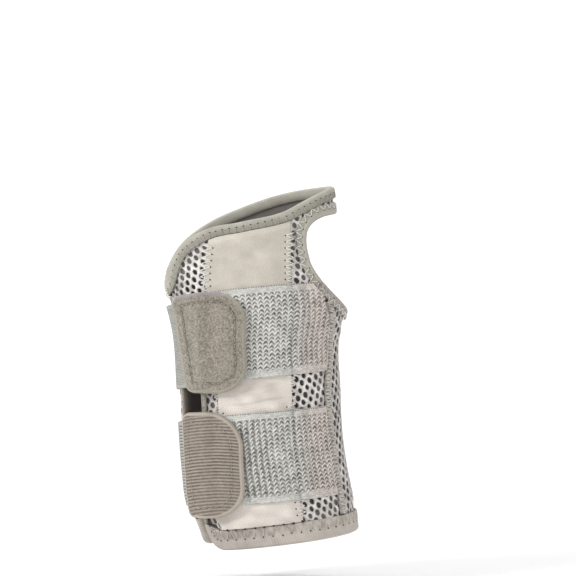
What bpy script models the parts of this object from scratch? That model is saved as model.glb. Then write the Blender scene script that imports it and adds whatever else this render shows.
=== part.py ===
"""Wrist brace in its worn form: a mesh sleeve with a thumb hole, closed by two elastic straps.

Metres. +Z points to the fingers, the palm faces -Y and the thumb is on the +X side.
The origin is the middle of the wrist, where the wrist goes through the sleeve.

Every piece is laid out flat first, on the sleeve's outer skin: a place is (s, z), where s is
the way round at the wrist's girth from the middle of the palm side, and then an offset out
of the skin. A turn is a share of the way round: 0 is the middle of the palm side, 0.25 the
thumb side, 0.5 the middle of the back and -0.25 the little-finger side.
"""

import math
from collections import namedtuple

import bmesh
import bpy
import numpy as np
from mathutils import Vector
from mathutils.geometry import delaunay_2d_cdt

MM = 0.001

# Sleeve
WRIST_WIDTH = 70 * MM  # outside, little-finger side to thumb side
WRIST_DEPTH = 49 * MM  # outside, palm to back
HAND_LENGTH = 66.5 * MM  # wrist to the edge over the thumb web
SLEEVE_THICKNESS = 3 * MM
PRESSED_THICKNESS = 1.6 * MM  # the same cloth under a tape or a seam
SWELL_START = 1.2 * MM  # the cloth stays pressed this far past a tape or a seam
SWELL_LENGTH = 5 * MM  # from the pressed cloth to the full thickness
THUMB_HOLE_WIDTH = 46 * MM
THUMB_HOLE_BOTTOM = 13.5 * MM  # above the wrist

# Bands, straps and tabs
BAND_WIDTH = 37.5 * MM
BAND_THICKNESS = 1.5 * MM
UPPER_BAND_RISE = 3.5 * MM  # wrist to the middle of the upper band
STRAP_WIDTH = 36 * MM
STRAP_THICKNESS = 1.3 * MM
STRAP_CLIMB = 12 * MM  # length over which a strap rises from the back onto its band
TAB_HEIGHT = 42.5 * MM
TAB_LENGTH = 28 * MM
TAB_THICKNESS = 2.5 * MM
TAB_SPACING = 9.3 * MM  # between the two tabs
HEM_MARGIN = 10.65 * MM  # lower band to the hem tape

# Splint pocket
POCKET_THICKNESS = 1.7 * MM
POCKET_EDGE = 0.8 * MM
POCKET_SHOULDER = 8 * MM  # from the thin edge to the full thickness

# Tapes and seams
EDGE_TAPE = 4.6 * MM
HEM_TAPE = 8.5 * MM
SLIT_TAPE = 3 * MM
TAPE_THICKNESS = 0.7 * MM
TAPE_NOSE = 0.8 * MM
HEM_CORNER = 8.7 * MM  # where the slit meets the hem, palm side
HEM_BACK_CORNER = 14 * MM
HEM_TILT = 0.12  # rise of the hem for each metre towards the thumb side
SEAM_WIDTH = 4.4 * MM
SEAM_PROUD = 0.5 * MM
SHORT_SEAM = 7.6 * MM  # between the slit and the tape at the fingers
CLEARANCE = 0.35 * MM  # between pieces that lie on or beside each other

# Worked out from the sizes above
BAND_PITCH = TAB_HEIGHT + TAB_SPACING
ARM_LENGTH = BAND_PITCH - UPPER_BAND_RISE + BAND_WIDTH / 2 + HEM_MARGIN + HEM_TAPE
PRESSED_INSET = TAPE_THICKNESS + CLEARANCE  # the cloth's edge lies this far inside the tape's
TAPE_PROUD = PRESSED_THICKNESS / 2 + CLEARANCE + TAPE_THICKNESS - SLEEVE_THICKNESS / 2

# The outer skin, one row a section. Heights are shares of ARM_LENGTH below the wrist and of
# HAND_LENGTH above it. The next two are shares of WRIST_WIDTH, and the next two of
# WRIST_DEPTH. The last is the exponent of the section's superellipse.
Section = namedtuple("Section", "height shift half_width lean half_depth square")
SECTIONS = [
    Section(-1.08, 0.136, 0.486, 0.00, 0.560, 2.2),
    Section(-0.96, 0.111, 0.483, 0.00, 0.560, 2.2),
    Section(-0.81, 0.065, 0.505, 0.00, 0.555, 2.2),
    Section(-0.64, 0.029, 0.498, 0.00, 0.550, 2.2),
    Section(-0.46, 0.003, 0.493, 0.00, 0.535, 2.2),
    Section(-0.23, -0.011, 0.494, 0.00, 0.515, 2.3),
    Section(0.00, -0.024, 0.499, 0.00, 0.500, 2.3),
    Section(0.21, -0.017, 0.540, 0.01, 0.480, 2.3),
    Section(0.39, -0.045, 0.565, 0.03, 0.445, 2.4),
    Section(0.61, -0.096, 0.579, 0.07, 0.400, 2.5),
    Section(1.05, -0.143, 0.579, 0.13, 0.350, 2.5),
]

# The edge at the fingers: its height as a share of HAND_LENGTH at each turn.
FingerEdge = namedtuple("FingerEdge", "turn height")
FINGER_EDGE = [
    FingerEdge(-0.500, 0.872),
    FingerEdge(-0.420, 0.767),
    FingerEdge(-0.360, 0.647),
    FingerEdge(-0.300, 0.470),
    FingerEdge(-0.268, 0.385),
    FingerEdge(-0.235, 0.352),
    FingerEdge(-0.198, 0.398),
    FingerEdge(-0.178, 0.485),
    FingerEdge(-0.155, 0.573),
    FingerEdge(-0.122, 0.650),
    FingerEdge(-0.088, 0.705),
    FingerEdge(0.000, 0.764),
    FingerEdge(0.090, 0.827),
    FingerEdge(0.153, 0.917),
    FingerEdge(0.200, 0.971),
    FingerEdge(0.250, 1.000),
    FingerEdge(0.330, 0.995),
    FingerEdge(0.420, 0.950),
]

# Lines that run up the sleeve, in turns. Heights are shares as in SECTIONS.
Run = namedtuple("Run", "height slit slit_gap pocket_left pocket_right thumb_seam")
RUNS = [
    Run(-1.08, -0.226, 0.042, -0.130, 0.058, 0.163),
    Run(-0.87, -0.204, 0.058, -0.123, 0.060, 0.164),
    Run(-0.70, -0.184, 0.062, -0.113, 0.063, 0.167),
    Run(-0.53, -0.169, 0.058, -0.101, 0.066, 0.170),
    Run(-0.36, -0.163, 0.055, -0.091, 0.068, 0.164),
    Run(-0.23, -0.165, 0.054, -0.092, 0.070, 0.163),
    Run(-0.06, -0.177, 0.034, -0.097, 0.072, 0.176),
    Run(0.12, -0.190, 0.006, -0.101, 0.073, 0.171),
    Run(0.24, -0.203, 0.003, -0.104, 0.074, 0.157),
    Run(0.35, -0.235, 0.003, -0.104, 0.075, 0.150),
    Run(0.63, -0.260, 0.003, -0.078, 0.096, 0.150),
    Run(0.80, -0.270, 0.003, -0.068, 0.107, 0.150),
]

# Each band's tilt, and how far its strap lies below it as a share of BAND_WIDTH.
Closure = namedtuple("Closure", "name step tilt drop")
CLOSURES = [
    Closure("upper", 0, 0.093, 0.061),
    Closure("lower", 1, 0.080, 0.021),
]
STRAP_START = -0.576  # turn of the sewn end on the back
STRAP_END = -0.122  # turn of the end under the tab
TAB_START = -0.165

# Corners of the tabs: shares of TAB_LENGTH from TAB_START, of TAB_HEIGHT from the strap's
# middle line, and of TAB_HEIGHT for the radius.
Corner = namedtuple("Corner", "closure along up radius")
TAB_CORNERS = [
    Corner("upper", 0.10, -0.47, 0.10),
    Corner("upper", 1.00, -0.54, 0.30),
    Corner("upper", 0.96, 0.48, 0.30),
    Corner("upper", -0.09, 0.50, 0.10),
    Corner("lower", -0.04, -0.50, 0.06),
    Corner("lower", 0.80, -0.54, 0.33),
    Corner("lower", 0.91, 0.50, 0.33),
    Corner("lower", -0.03, 0.51, 0.10),
]

TAPE_NOSE_FLAT = 0.45  # share of the folded tape's thickness that is flat at its nose
THUMB_HOLE_TURN = 0.25
WEB_TURN = 0.2  # where the tapes of the thumb hole and of the fingers come closest
LOWER_SQUARE = 1.65  # superellipse exponents of the thumb hole
UPPER_SQUARE = 3.2

# Colours and roughness
Look = namedtuple("Look", "red green blue roughness")
LOOKS = {
    "mesh": Look(0.50, 0.48, 0.46, 0.85),
    "seam": Look(0.36, 0.34, 0.31, 0.9),
    "suede": Look(0.66, 0.60, 0.54, 0.95),
    "tape": Look(0.42, 0.42, 0.36, 0.8),
    "hem": Look(0.46, 0.42, 0.36, 0.8),
    "band": Look(0.47, 0.46, 0.43, 0.85),
    "strap": Look(0.50, 0.49, 0.45, 0.8),
    "velour": Look(0.33, 0.29, 0.24, 0.95),
    "ribbed": Look(0.29, 0.25, 0.20, 0.85),
}

# How finely the skin is worked out and the pieces are divided
LEVEL_STEP = 1 * MM
TURN_STEPS = 256
ARC_STEPS = 720
COLUMN = 4.8 * MM
ROW = 7.5 * MM
EDGE_STEP = 4 * MM
PATH_STEP = 0.8 * MM


def level(height):
    """The z of a height that is given as a share of ARM_LENGTH or HAND_LENGTH."""
    return height * (HAND_LENGTH if height > 0 else ARM_LENGTH)


def ease(t):
    """0 to 1, level at both ends."""
    t = np.clip(t, 0, 1)
    return t * t * (3 - 2 * t)


def smooth_through(xs, ys, x):
    """A smooth curve through the points (xs, ys), read at x."""
    xs, ys, x = np.asarray(xs, float), np.asarray(ys, float), np.asarray(x, float)
    slopes = np.gradient(ys, xs)
    i = np.clip(np.searchsorted(xs, x) - 1, 0, len(xs) - 2)
    width = xs[i + 1] - xs[i]
    t = np.clip((x - xs[i]) / width, 0, 1)
    return (
        (1 + 2 * t) * (1 - t) ** 2 * ys[i]
        + t * (1 - t) ** 2 * width * slopes[i]
        + t * t * (3 - 2 * t) * ys[i + 1]
        + t * t * (t - 1) * width * slopes[i + 1]
    )


class Skin:
    """The outer skin of the sleeve, read at a place and an offset."""

    def __init__(self):
        rows = np.array(SECTIONS)
        self.z0 = level(SECTIONS[0].height)
        levels = int((level(SECTIONS[-1].height) - self.z0) / LEVEL_STEP) + 1
        self.zs = self.z0 + LEVEL_STEP * np.arange(levels)
        heights = [level(s.height) for s in SECTIONS]
        shift, half_width, lean, half_depth, square = (
            smooth_through(heights, rows[:, k], self.zs) for k in range(1, 6)
        )
        angle = np.linspace(-0.5 * math.pi, 1.5 * math.pi, ARC_STEPS + 1)
        power = 2 / square[:, None]
        across = np.sign(np.cos(angle)) * np.abs(np.cos(angle)) ** power
        deep = np.sign(np.sin(angle)) * np.abs(np.sin(angle)) ** power
        x = WRIST_WIDTH * (shift[:, None] + half_width[:, None] * across)
        y = WRIST_DEPTH * (lean[:, None] + half_depth[:, None] * deep)
        arcs = np.hypot(np.diff(x), np.diff(y)).cumsum(1)
        turns = np.arange(TURN_STEPS) / TURN_STEPS
        self.points = np.empty((levels, TURN_STEPS, 3))
        for k in range(levels):
            share = np.concatenate([[0], arcs[k]]) / arcs[k, -1]
            self.points[k, :, 0] = np.interp(turns, share, x[k])
            self.points[k, :, 1] = np.interp(turns, share, y[k])
            self.points[k, :, 2] = self.zs[k]
        self.girth = np.interp(0, self.zs, arcs[:, -1])
        along = np.roll(self.points, -1, 1) - np.roll(self.points, 1, 1)
        normals = np.cross(along, np.gradient(self.points, axis=0))
        self.normals = normals / np.linalg.norm(normals, axis=2, keepdims=True)

    def read(self, grid, s, z):
        row = np.clip((z - self.z0) / LEVEL_STEP, 0, len(self.zs) - 1.001)
        column = (s / self.girth % 1) * TURN_STEPS
        i, j = row.astype(int), column.astype(int) % TURN_STEPS
        a, b = (row - i)[..., None], (column - column.astype(int))[..., None]
        k = (j + 1) % TURN_STEPS
        lower = grid[i, j] * (1 - b) + grid[i, k] * b
        upper = grid[i + 1, j] * (1 - b) + grid[i + 1, k] * b
        return lower * (1 - a) + upper * a

    def at(self, s, z, offset):
        """Points in space, for arrays of one shape."""
        s, z = np.asarray(s, float), np.asarray(z, float)
        point, normal = self.read(self.points, s, z), self.read(self.normals, s, z)
        normal = normal / np.linalg.norm(normal, axis=-1, keepdims=True)
        return point + normal * np.broadcast_to(offset, s.shape)[..., None]


SKIN = Skin()
GIRTH = SKIN.girth
ONCE_ROUND_HOLE = np.zeros(2)
ONCE_ROUND_HAND = np.array([-GIRTH, 0])


def run(name, z):
    """s of one of the lines in RUNS."""
    heights = [level(r.height) for r in RUNS]
    return GIRTH * smooth_through(heights, [getattr(r, name) for r in RUNS], z)


def slit_edge(side, z):
    """s of the slit's finished edge: side 1 on the palm panel, -1 on the back panel."""
    return run("slit", z) + side * run("slit_gap", z) / 2


def finger_edge(s):
    turns = [e.turn + k for k in (-1, 0, 1) for e in FINGER_EDGE]
    heights = [e.height for e in FINGER_EDGE] * 3
    return HAND_LENGTH * smooth_through(turns, heights, np.asarray(s) / GIRTH)


def hem_edge(s):
    s = np.asarray(s, float)
    x = SKIN.at(s, np.full(s.shape, -ARM_LENGTH), 0)[..., 0]
    return HEM_TILT * x - ARM_LENGTH


def slit_top():
    z = HAND_LENGTH * min(e.height for e in FINGER_EDGE)
    return z - EDGE_TAPE - SHORT_SEAM


# Paths on the skin: rows of (s, z), run with the cloth on their left


def spread(points, step, wrap=None):
    """The same path with evenly spaced points. A closed path meets its start after wrap."""
    points = np.asarray(points, float)
    if wrap is not None:
        points = np.vstack([points, points[:1] + wrap])
    lengths = np.concatenate([[0], np.hypot(*np.diff(points, axis=0).T).cumsum()])
    count = max(2, round(lengths[-1] / step)) + 1
    at = np.linspace(0, lengths[-1], count)
    even = np.column_stack([np.interp(at, lengths, points[:, k]) for k in (0, 1)])
    return even if wrap is None else even[:-1]


def inward(points, wrap=None):
    """Unit vectors that point from a path into its cloth."""
    if wrap is None:
        ahead = np.gradient(points, axis=0)
    else:
        after = np.vstack([points[1:], points[:1] + wrap])
        ahead = after - np.vstack([points[-1:] - wrap, points[:-1]])
    side = np.column_stack([-ahead[:, 1], ahead[:, 0]])
    return side / np.linalg.norm(side, axis=1, keepdims=True)


def moved(points, distance, wrap=None):
    return points + distance * inward(points, wrap)


def stations(path, wrap=None):
    """Points EDGE_STEP apart on a path, each with its unit vector into the cloth."""
    fine = spread(path, PATH_STEP, wrap)
    side = inward(fine, wrap)
    length = PATH_STEP * len(fine)
    if wrap is None:
        pick = np.linspace(0, len(fine) - 1, max(2, round(length / EDGE_STEP) + 1))
    else:
        pick = np.linspace(0, len(fine), max(3, round(length / EDGE_STEP)), endpoint=False)
    pick = pick.round().astype(int)
    return fine[pick], side[pick]


def distance_to(places, path):
    """Least distance from each place to a path."""
    a, b = path[:-1], path[1:]
    ab = b - a
    t = ((places[:, None] - a) * ab).sum(2) / (ab * ab).sum(1)
    near = a + np.clip(t, 0, 1)[..., None] * ab
    return np.linalg.norm(places[:, None] - near, axis=2).min(1)


def rounded(corners, radii):
    """A polygon with each corner turned on its own radius. A radius of 0 keeps the corner."""
    points = []
    for k, corner in enumerate(corners):
        before, after = corners[k - 1] - corner, corners[(k + 1) % len(corners)] - corner
        before, after = before / np.linalg.norm(before), after / np.linalg.norm(after)
        if radii[k] == 0:
            points.append(corner)
            continue
        half = math.acos(np.clip(before @ after, -1, 1)) / 2
        middle = (before + after) / np.linalg.norm(before + after)
        centre = corner + middle * radii[k] / math.sin(half)
        start = corner + before * radii[k] / math.tan(half) - centre
        turn = math.pi - 2 * half
        for t in np.linspace(0, turn, 9):
            c, s = math.cos(t), math.sin(t)
            points.append(centre + np.array([c * start[0] - s * start[1], s * start[0] + c * start[1]]))
    return np.array(points)


def hem_path():
    """From the slit's palm-side edge, round the arm, to the slit's back edge."""
    left, right = slit_edge(1, -ARM_LENGTH), slit_edge(-1, -ARM_LENGTH) + GIRTH
    s = np.arange(left, right, PATH_STEP)
    s = np.append(s, right)
    line = np.column_stack([s, hem_edge(s)])
    ends = []
    for side, corner, radius in ((1, line[0], HEM_CORNER), (-1, line[-1], HEM_BACK_CORNER)):
        reach = 1.6 * radius
        z = corner[1] + reach
        up = np.array([slit_edge(side, z) + (0 if side == 1 else GIRTH), z])
        along = line[np.argmin(np.abs(line[:, 0] - corner[0] - side * reach))]
        order = [up, corner, along] if side == 1 else [along, corner, up]
        ends.append(rounded(np.array(order), [0, radius, 0])[1:-1])
    first, last = ends
    middle = line[(line[:, 0] > first[-1, 0]) & (line[:, 0] < last[0, 0])]
    return spread(np.vstack([first, middle, last]), PATH_STEP)


def thumb_path():
    """Once round the thumb hole, from the thumb web, towards the palm first."""
    top = finger_edge(WEB_TURN * GIRTH) - 2 * EDGE_TAPE - 3 * CLEARANCE
    middle, half = (top + THUMB_HOLE_BOTTOM) / 2, (top - THUMB_HOLE_BOTTOM) / 2
    angle = np.linspace(0, 2 * math.pi, ARC_STEPS, endpoint=False) + math.pi / 2
    c, s = np.cos(angle), np.sin(angle)
    power = 2 / np.where(s > 0, UPPER_SQUARE, LOWER_SQUARE)
    across = np.sign(c) * np.abs(c) ** power * THUMB_HOLE_WIDTH / 2
    up = np.sign(s) * np.abs(s) ** power * half
    loop = np.column_stack([THUMB_HOLE_TURN * GIRTH + across, middle + up])
    return spread(loop[::-1], PATH_STEP, ONCE_ROUND_HOLE)


def finger_path():
    """Once round the edge at the fingers, from the thumb web, towards the palm first."""
    s = THUMB_HOLE_TURN * GIRTH - np.arange(0, GIRTH, PATH_STEP)
    return np.column_stack([s, finger_edge(s)])


def wide_finger_path():
    s = np.arange(-GIRTH, GIRTH, PATH_STEP)
    return np.column_stack([s, finger_edge(s)])


HEM = hem_path()
THUMB = thumb_path()
FINGERS = finger_path()
TAPED_EDGES = [
    (wide_finger_path(), EDGE_TAPE),
    (np.vstack([THUMB, THUMB[:1]]), EDGE_TAPE),
    (HEM, HEM_TAPE),
    (HEM - [GIRTH, 0], HEM_TAPE),
]


def slit_path(side):
    """Down the palm side of the slit to the hem's tape, or up its back side from there."""
    end, after = (HEM[0], HEM[1]) if side == 1 else (HEM[-1], HEM[-2])
    end = end + 3 * CLEARANCE * (end - after) / np.linalg.norm(end - after)
    wrap = 0 if side == 1 else GIRTH
    z = np.arange(end[1] + EDGE_STEP, slit_top() - SLIT_TAPE / 2, PATH_STEP)
    line = np.column_stack([slit_edge(side, z) + wrap, z])
    line = np.vstack([end, line])
    return line[::-1] if side == 1 else line


def thumb_left(z, room):
    """s of the line beside the thumb hole, room away on the palm side; far off below it."""
    loop = moved(THUMB, room, ONCE_ROUND_HOLE)
    half = loop[loop[:, 0] < THUMB_HOLE_TURN * GIRTH]
    half = half[np.argsort(half[:, 1])]
    return np.interp(z, half[:, 1], half[:, 0], left=GIRTH)


def thumb_floor(s, room):
    """z of the line below the thumb hole, room away."""
    loop = moved(THUMB, room, ONCE_ROUND_HOLE)
    half = loop[loop[:, 1] < np.mean(THUMB[:, 1])]
    half = half[np.argsort(half[:, 0])]
    return np.interp(s, half[:, 0], half[:, 1])


# Heights above the skin


def tape_rise(s, z):
    """How far the tapes near a place stand above the skin."""
    places = np.column_stack([np.ravel(s), np.ravel(z)])
    away = np.min([distance_to(places, path) - width for path, width in TAPED_EDGES], axis=0)
    return (TAPE_PROUD * (1 - ease((away - MM) / SWELL_LENGTH))).reshape(np.shape(s))


def inside_pocket(s, z):
    return np.minimum(s - run("pocket_left", z), run("pocket_right", z) - s)


def pocket_under(s, z):
    return tape_rise(s, z) + CLEARANCE


def pocket_over(s, z):
    crown = (POCKET_THICKNESS - POCKET_EDGE) * ease(inside_pocket(s, z) / POCKET_SHOULDER)
    return pocket_under(s, z) + POCKET_EDGE + crown


def band_under(s, z):
    """The band lies on the pocket and comes down to the sleeve on each side of it."""
    outside = ease((-inside_pocket(s, z) - COLUMN / 2) / SWELL_LENGTH)
    lift = (pocket_over(s, z) - tape_rise(s, z)) * (1 - outside)
    return tape_rise(s, z) + lift + CLEARANCE


def band_over(s, z):
    return band_under(s, z) + BAND_THICKNESS


def band_left(z):
    """s of a band's end beside the slit's tape, or beside the short seam above the slit."""
    return slit_edge(1, z) + max(SLIT_TAPE, SEAM_WIDTH / 2) + CLEARANCE


def strap_under(s, z):
    """The strap lies on the back, bridges the slit and climbs onto the band's end."""
    beyond = band_left(z) - s
    climb = 1 - ease((beyond - 1.5 * MM) / STRAP_CLIMB)
    behind = slit_edge(-1, z) - s - SLIT_TAPE
    low = TAPE_PROUD * (1 - ease((behind - MM) / SWELL_LENGTH))
    low = np.maximum(low, tape_rise(s, z)) + CLEARANCE
    high = band_over(np.maximum(s, band_left(z)), z) + CLEARANCE
    return low + (high - low) * climb


def strap_over(s, z):
    return strap_under(s, z) + STRAP_THICKNESS


def tab_under(s, z):
    """The tab covers the strap's end and comes down to the band past it."""
    past = ease((s - STRAP_END * GIRTH - MM) / SWELL_LENGTH)
    return strap_under(s, z) + (STRAP_THICKNESS + CLEARANCE) * (1 - past)


def tab_over(s, z):
    return tab_under(s, z) + TAB_THICKNESS


# Solids


def material(name):
    look = LOOKS[name]
    made = bpy.data.materials.new(name)
    made.use_nodes = True
    shader = made.node_tree.nodes["Principled BSDF"]
    shader.inputs["Base Color"].default_value = (look.red, look.green, look.blue, 1)
    shader.inputs["Roughness"].default_value = look.roughness
    shader.inputs["Metallic"].default_value = 0
    return made


def add(name, points, faces, look):
    """A closed body as one object."""
    mesh = bpy.data.meshes.new(name)
    mesh.from_pydata([tuple(p) for p in points], [], faces)
    shape = bmesh.new()
    shape.from_mesh(mesh)
    bmesh.ops.triangulate(shape, faces=shape.faces[:])
    bmesh.ops.recalc_face_normals(shape, faces=shape.faces[:])
    shape.to_mesh(mesh)
    shape.free()
    mesh.shade_smooth()
    mesh.set_sharp_from_angle(angle=math.radians(40))
    mesh.materials.append(material(look))
    made = bpy.data.objects.new(name, mesh)
    bpy.context.scene.collection.objects.link(made)
    return made


def is_inside(places, loop):
    a, b = loop, np.roll(loop, -1, 0)
    x, y = places[:, :1], places[:, 1:]
    crosses = (a[:, 1] > y) != (b[:, 1] > y)
    rise = np.where(b[:, 1] == a[:, 1], 1, b[:, 1] - a[:, 1])
    at = a[:, 0] + (y - a[:, 1]) * (b[:, 0] - a[:, 0]) / rise
    return (crosses & (x < at)).sum(1) % 2 == 1


def lattice(loop):
    """Inner places of a patch, on columns and rows that all patches share."""
    low, high = loop.min(0), loop.max(0)
    columns = np.arange(math.ceil(low[0] / COLUMN), math.floor(high[0] / COLUMN) + 1) * COLUMN
    rows = np.arange(math.ceil(low[1] / ROW), math.floor(high[1] / ROW) + 1) * ROW
    places = np.array([(s, z) for s in columns for z in rows]).reshape(-1, 2)
    return places[is_inside(places, loop)]


def away_from(places, others, room):
    gaps = np.linalg.norm(places[:, None] - others, axis=2).min(1)
    return places[gaps > room]


def fill(loop, inner):
    """Triangles between a loop and the inner places, as (places, faces)."""
    places = np.vstack([loop, inner]) / MM
    count = len(loop)
    edges = [(k, (k + 1) % count) for k in range(count)]
    flat, _, faces, *_ = delaunay_2d_cdt([Vector(p) for p in places], edges, [], 1, 1e-4)
    return np.array([tuple(p) for p in flat]) * MM, [list(f) for f in faces]


def solid(name, places, faces, under, over, look):
    """A patch of the skin given thickness between the offsets under and over."""
    s, z = places[:, 0], places[:, 1]
    count = len(places)
    points = np.vstack([SKIN.at(s, z, under), SKIN.at(s, z, over)])
    used = {(a, b) for f in faces for a, b in zip(f, f[1:] + f[:1])}
    rim = [(a, b) for a, b in used if (b, a) not in used]
    body = [f[::-1] for f in faces]
    body += [[v + count for v in f] for f in faces]
    body += [[a, b, b + count, a + count] for a, b in sorted(rim)]
    return add(name, points, body, look)


def patch(name, loop, under, over, look):
    """A piece that lies on the sleeve. under and over are functions of (s, z)."""
    inner = lattice(loop)
    inner = away_from(inner, spread(loop, EDGE_STEP / 3, ONCE_ROUND_HOLE), 0.42 * COLUMN)
    places, faces = fill(loop, inner)
    s, z = places[:, 0], places[:, 1]
    return solid(name, places, faces, under(s, z), over(s, z), look)


def panel(name, stretches):
    """A panel of the sleeve, pressed thin where a tape or seam covers it.

    stretches holds (path, cover) in order round the panel, with the cloth on the left.
    """
    loop, guard, edges = [], [], []
    for path, cover in stretches:
        points, side = stations(path)
        loop.append(points)
        edges.append((path, cover))
        guard.append((points + side * (cover + CLEARANCE))[1:-1])
    loop, guard = np.vstack(loop), np.vstack(guard)
    steps = np.linalg.norm(loop - np.roll(loop, 1, 0), axis=1)
    loop = loop[steps > 0.2 * EDGE_STEP]

    def bare(places):
        """Distance from a place to the nearest tape or seam that covers the panel."""
        return np.min([distance_to(places, path) - cover for path, cover in edges], axis=0)

    guard = guard[is_inside(guard, loop) & (bare(guard) > 0.6 * CLEARANCE)]
    inner = lattice(loop)
    inner = inner[bare(inner) > 0.35 * SWELL_LENGTH]
    inner = away_from(inner, guard, 0.4 * COLUMN)
    places, faces = fill(loop, np.vstack([guard, inner]))
    swell = ease((bare(places) - SWELL_START) / SWELL_LENGTH)
    half = (PRESSED_THICKNESS + (SLEEVE_THICKNESS - PRESSED_THICKNESS) * swell) / 2
    middle = -SLEEVE_THICKNESS / 2
    return solid(name, places, faces, middle - half, middle + half, "mesh")


def tape(name, path, width, look, wrap=None):
    """Tape folded over an edge of the sleeve, which it holds with clearance."""
    points, side = stations(path, wrap)
    middle = -SLEEVE_THICKNESS / 2
    near = PRESSED_THICKNESS / 2 + CLEARANCE
    far = near + TAPE_THICKNESS
    flat = TAPE_NOSE_FLAT * far
    outer = [(width, far), (TAPE_NOSE, far), (0, flat)]
    inner = [(width, near), (TAPE_NOSE, near), (TAPE_THICKNESS, near)]
    outer += [(depth, -offset) for depth, offset in outer[::-1]]
    inner += [(depth, -offset) for depth, offset in inner[::-1]]
    ring = outer + inner[::-1]
    size, steps = len(ring), len(points)
    rows = [SKIN.at(*(points + side * depth).T, middle + offset) for depth, offset in ring]
    corners = np.stack(rows, axis=1).reshape(-1, 3)
    faces = []
    for k in range(steps - 1 if wrap is None else steps):
        a, b = k * size, (k + 1) % steps * size
        faces += [[a + i, a + (i + 1) % size, b + (i + 1) % size, b + i] for i in range(size)]
    if wrap is None:
        for base in (0, (steps - 1) * size):
            for i in range(len(outer) - 1):
                faces.append([base + i, base + i + 1, base + size - 2 - i, base + size - 1 - i])
    return add(name, corners, faces, look)


def upright(s_of_z, low, high, step=PATH_STEP):
    """A path up the sleeve."""
    z = np.linspace(low, high, max(2, round((high - low) / step)))
    return np.column_stack([s_of_z(z), z])


def crossing(path, s):
    """z where a path passes s."""
    order = np.argsort(path[:, 0])
    return np.interp(s, path[order, 0], path[order, 1])


def settle(z_of_s, s_of_z, z):
    """The place where a line up the sleeve meets a line round it, near height z."""
    for _ in range(12):
        z = float(z_of_s(s_of_z(z)))
    return z


def between(path, first, last):
    """The part of a path whose s lies between two values."""
    return path[(path[:, 0] > min(first, last)) & (path[:, 0] < max(first, last))]


def panels():
    """The palm panel and the back panel meet at two seams and over the thumb web."""
    half = CLEARANCE / 2
    web = THUMB_HOLE_TURN * GIRTH
    hem = moved(HEM, PRESSED_INSET)
    fingers = moved(wide_finger_path()[::-1], PRESSED_INSET)
    hole = moved(THUMB, PRESSED_INSET, ONCE_ROUND_HOLE)
    tape_cover = EDGE_TAPE - PRESSED_INSET
    seam_cover = SEAM_WIDTH / 2
    slit_cover = SLIT_TAPE - PRESSED_INSET
    top = slit_top()
    for side, name in ((1, "palm_mesh"), (-1, "back_mesh")):
        gap = half * side

        def thumb_seam(z):
            return run("thumb_seam", z) - gap

        def short_seam(z):
            return run("slit", z) + gap

        seam_top = settle(lambda s: thumb_floor(s, PRESSED_INSET), thumb_seam, THUMB_HOLE_BOTTOM)
        seam_low = settle(lambda s: crossing(hem, s), thumb_seam, -ARM_LENGTH)
        short_top = settle(lambda s: crossing(fingers, s), short_seam, level(0.3))
        low, high = thumb_seam(seam_low), thumb_seam(seam_top)
        web_line = np.array([[web - gap, crossing(hole[hole[:, 1] > level(0.5)], web)],
                             [web - gap, crossing(fingers, web)]])
        seam = upright(thumb_seam, seam_low, seam_top)
        short = upright(short_seam, top, short_top)[::-1]
        middle_z = np.mean(THUMB[:, 1])
        if side == 1:
            ring = hole[hole[:, 0] < web - gap]
            ring = ring[(ring[:, 1] > middle_z) | (ring[:, 0] < high)]
            ring = ring[np.argsort(ring[:, 1])]
            foot = between(hem, hem[0, 0] - 1, low)
            end = moved(slit_path(side), PRESSED_INSET)
            crown = between(fingers, web - gap, short_seam(short_top))
            loop = [foot, seam, ring, web_line, crown, short, end]
        else:
            ring = hole[(hole[:, 0] > web - gap) | ((hole[:, 0] > high) & (hole[:, 1] < middle_z))]
            angle = np.arctan2(ring[:, 1] - middle_z, ring[:, 0] - web)
            ring = ring[np.argsort(angle)][::-1]
            foot = between(hem, low, GIRTH * 2)
            end = moved(slit_path(side), PRESSED_INSET)
            shifted = fingers + [GIRTH, 0]
            crown = np.vstack([between(shifted, GIRTH * 0.5, short_seam(short_top) + GIRTH),
                               between(fingers, web - gap, GIRTH * 0.5)])
            crown = crown[np.argsort(-crown[:, 0])]
            short = short[::-1] + [GIRTH, 0]
            loop = [foot, end, short, crown, web_line[::-1], ring, seam[::-1]]
        covers = {
            id(foot): HEM_TAPE - PRESSED_INSET,
            id(end): slit_cover,
            id(crown): tape_cover,
            id(ring): tape_cover,
        }
        panel(name, [(path, covers.get(id(path), seam_cover)) for path in loop])


def seam_strip(name, s_of_z, ends):
    """The thick overlocked seam. ends gives its lowest and highest z at an s."""
    half = SEAM_WIDTH / 2
    sides = []
    for side in (-half, half):
        low = settle(lambda s: ends(s)[0], lambda z: s_of_z(z) + side, level(-0.9))
        high = settle(lambda s: ends(s)[1], lambda z: s_of_z(z) + side, level(0.2))
        sides.append(upright(lambda z: s_of_z(z) + side, low, high, ROW))
    loop = np.vstack([sides[1], sides[0][::-1]])
    low = -(SLEEVE_THICKNESS - PRESSED_THICKNESS) / 2 + CLEARANCE
    inner = upright(s_of_z, loop[:, 1].min() + ROW / 2, loop[:, 1].max() - ROW / 2, ROW)
    places, faces = fill(loop, inner)
    near = np.abs(places[:, 0] - s_of_z(places[:, 1])) < half / 2
    over = np.where(near, SEAM_PROUD, low + 0.6 * (SEAM_PROUD - low))
    solid(name, places, faces, low, over, "seam")


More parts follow.
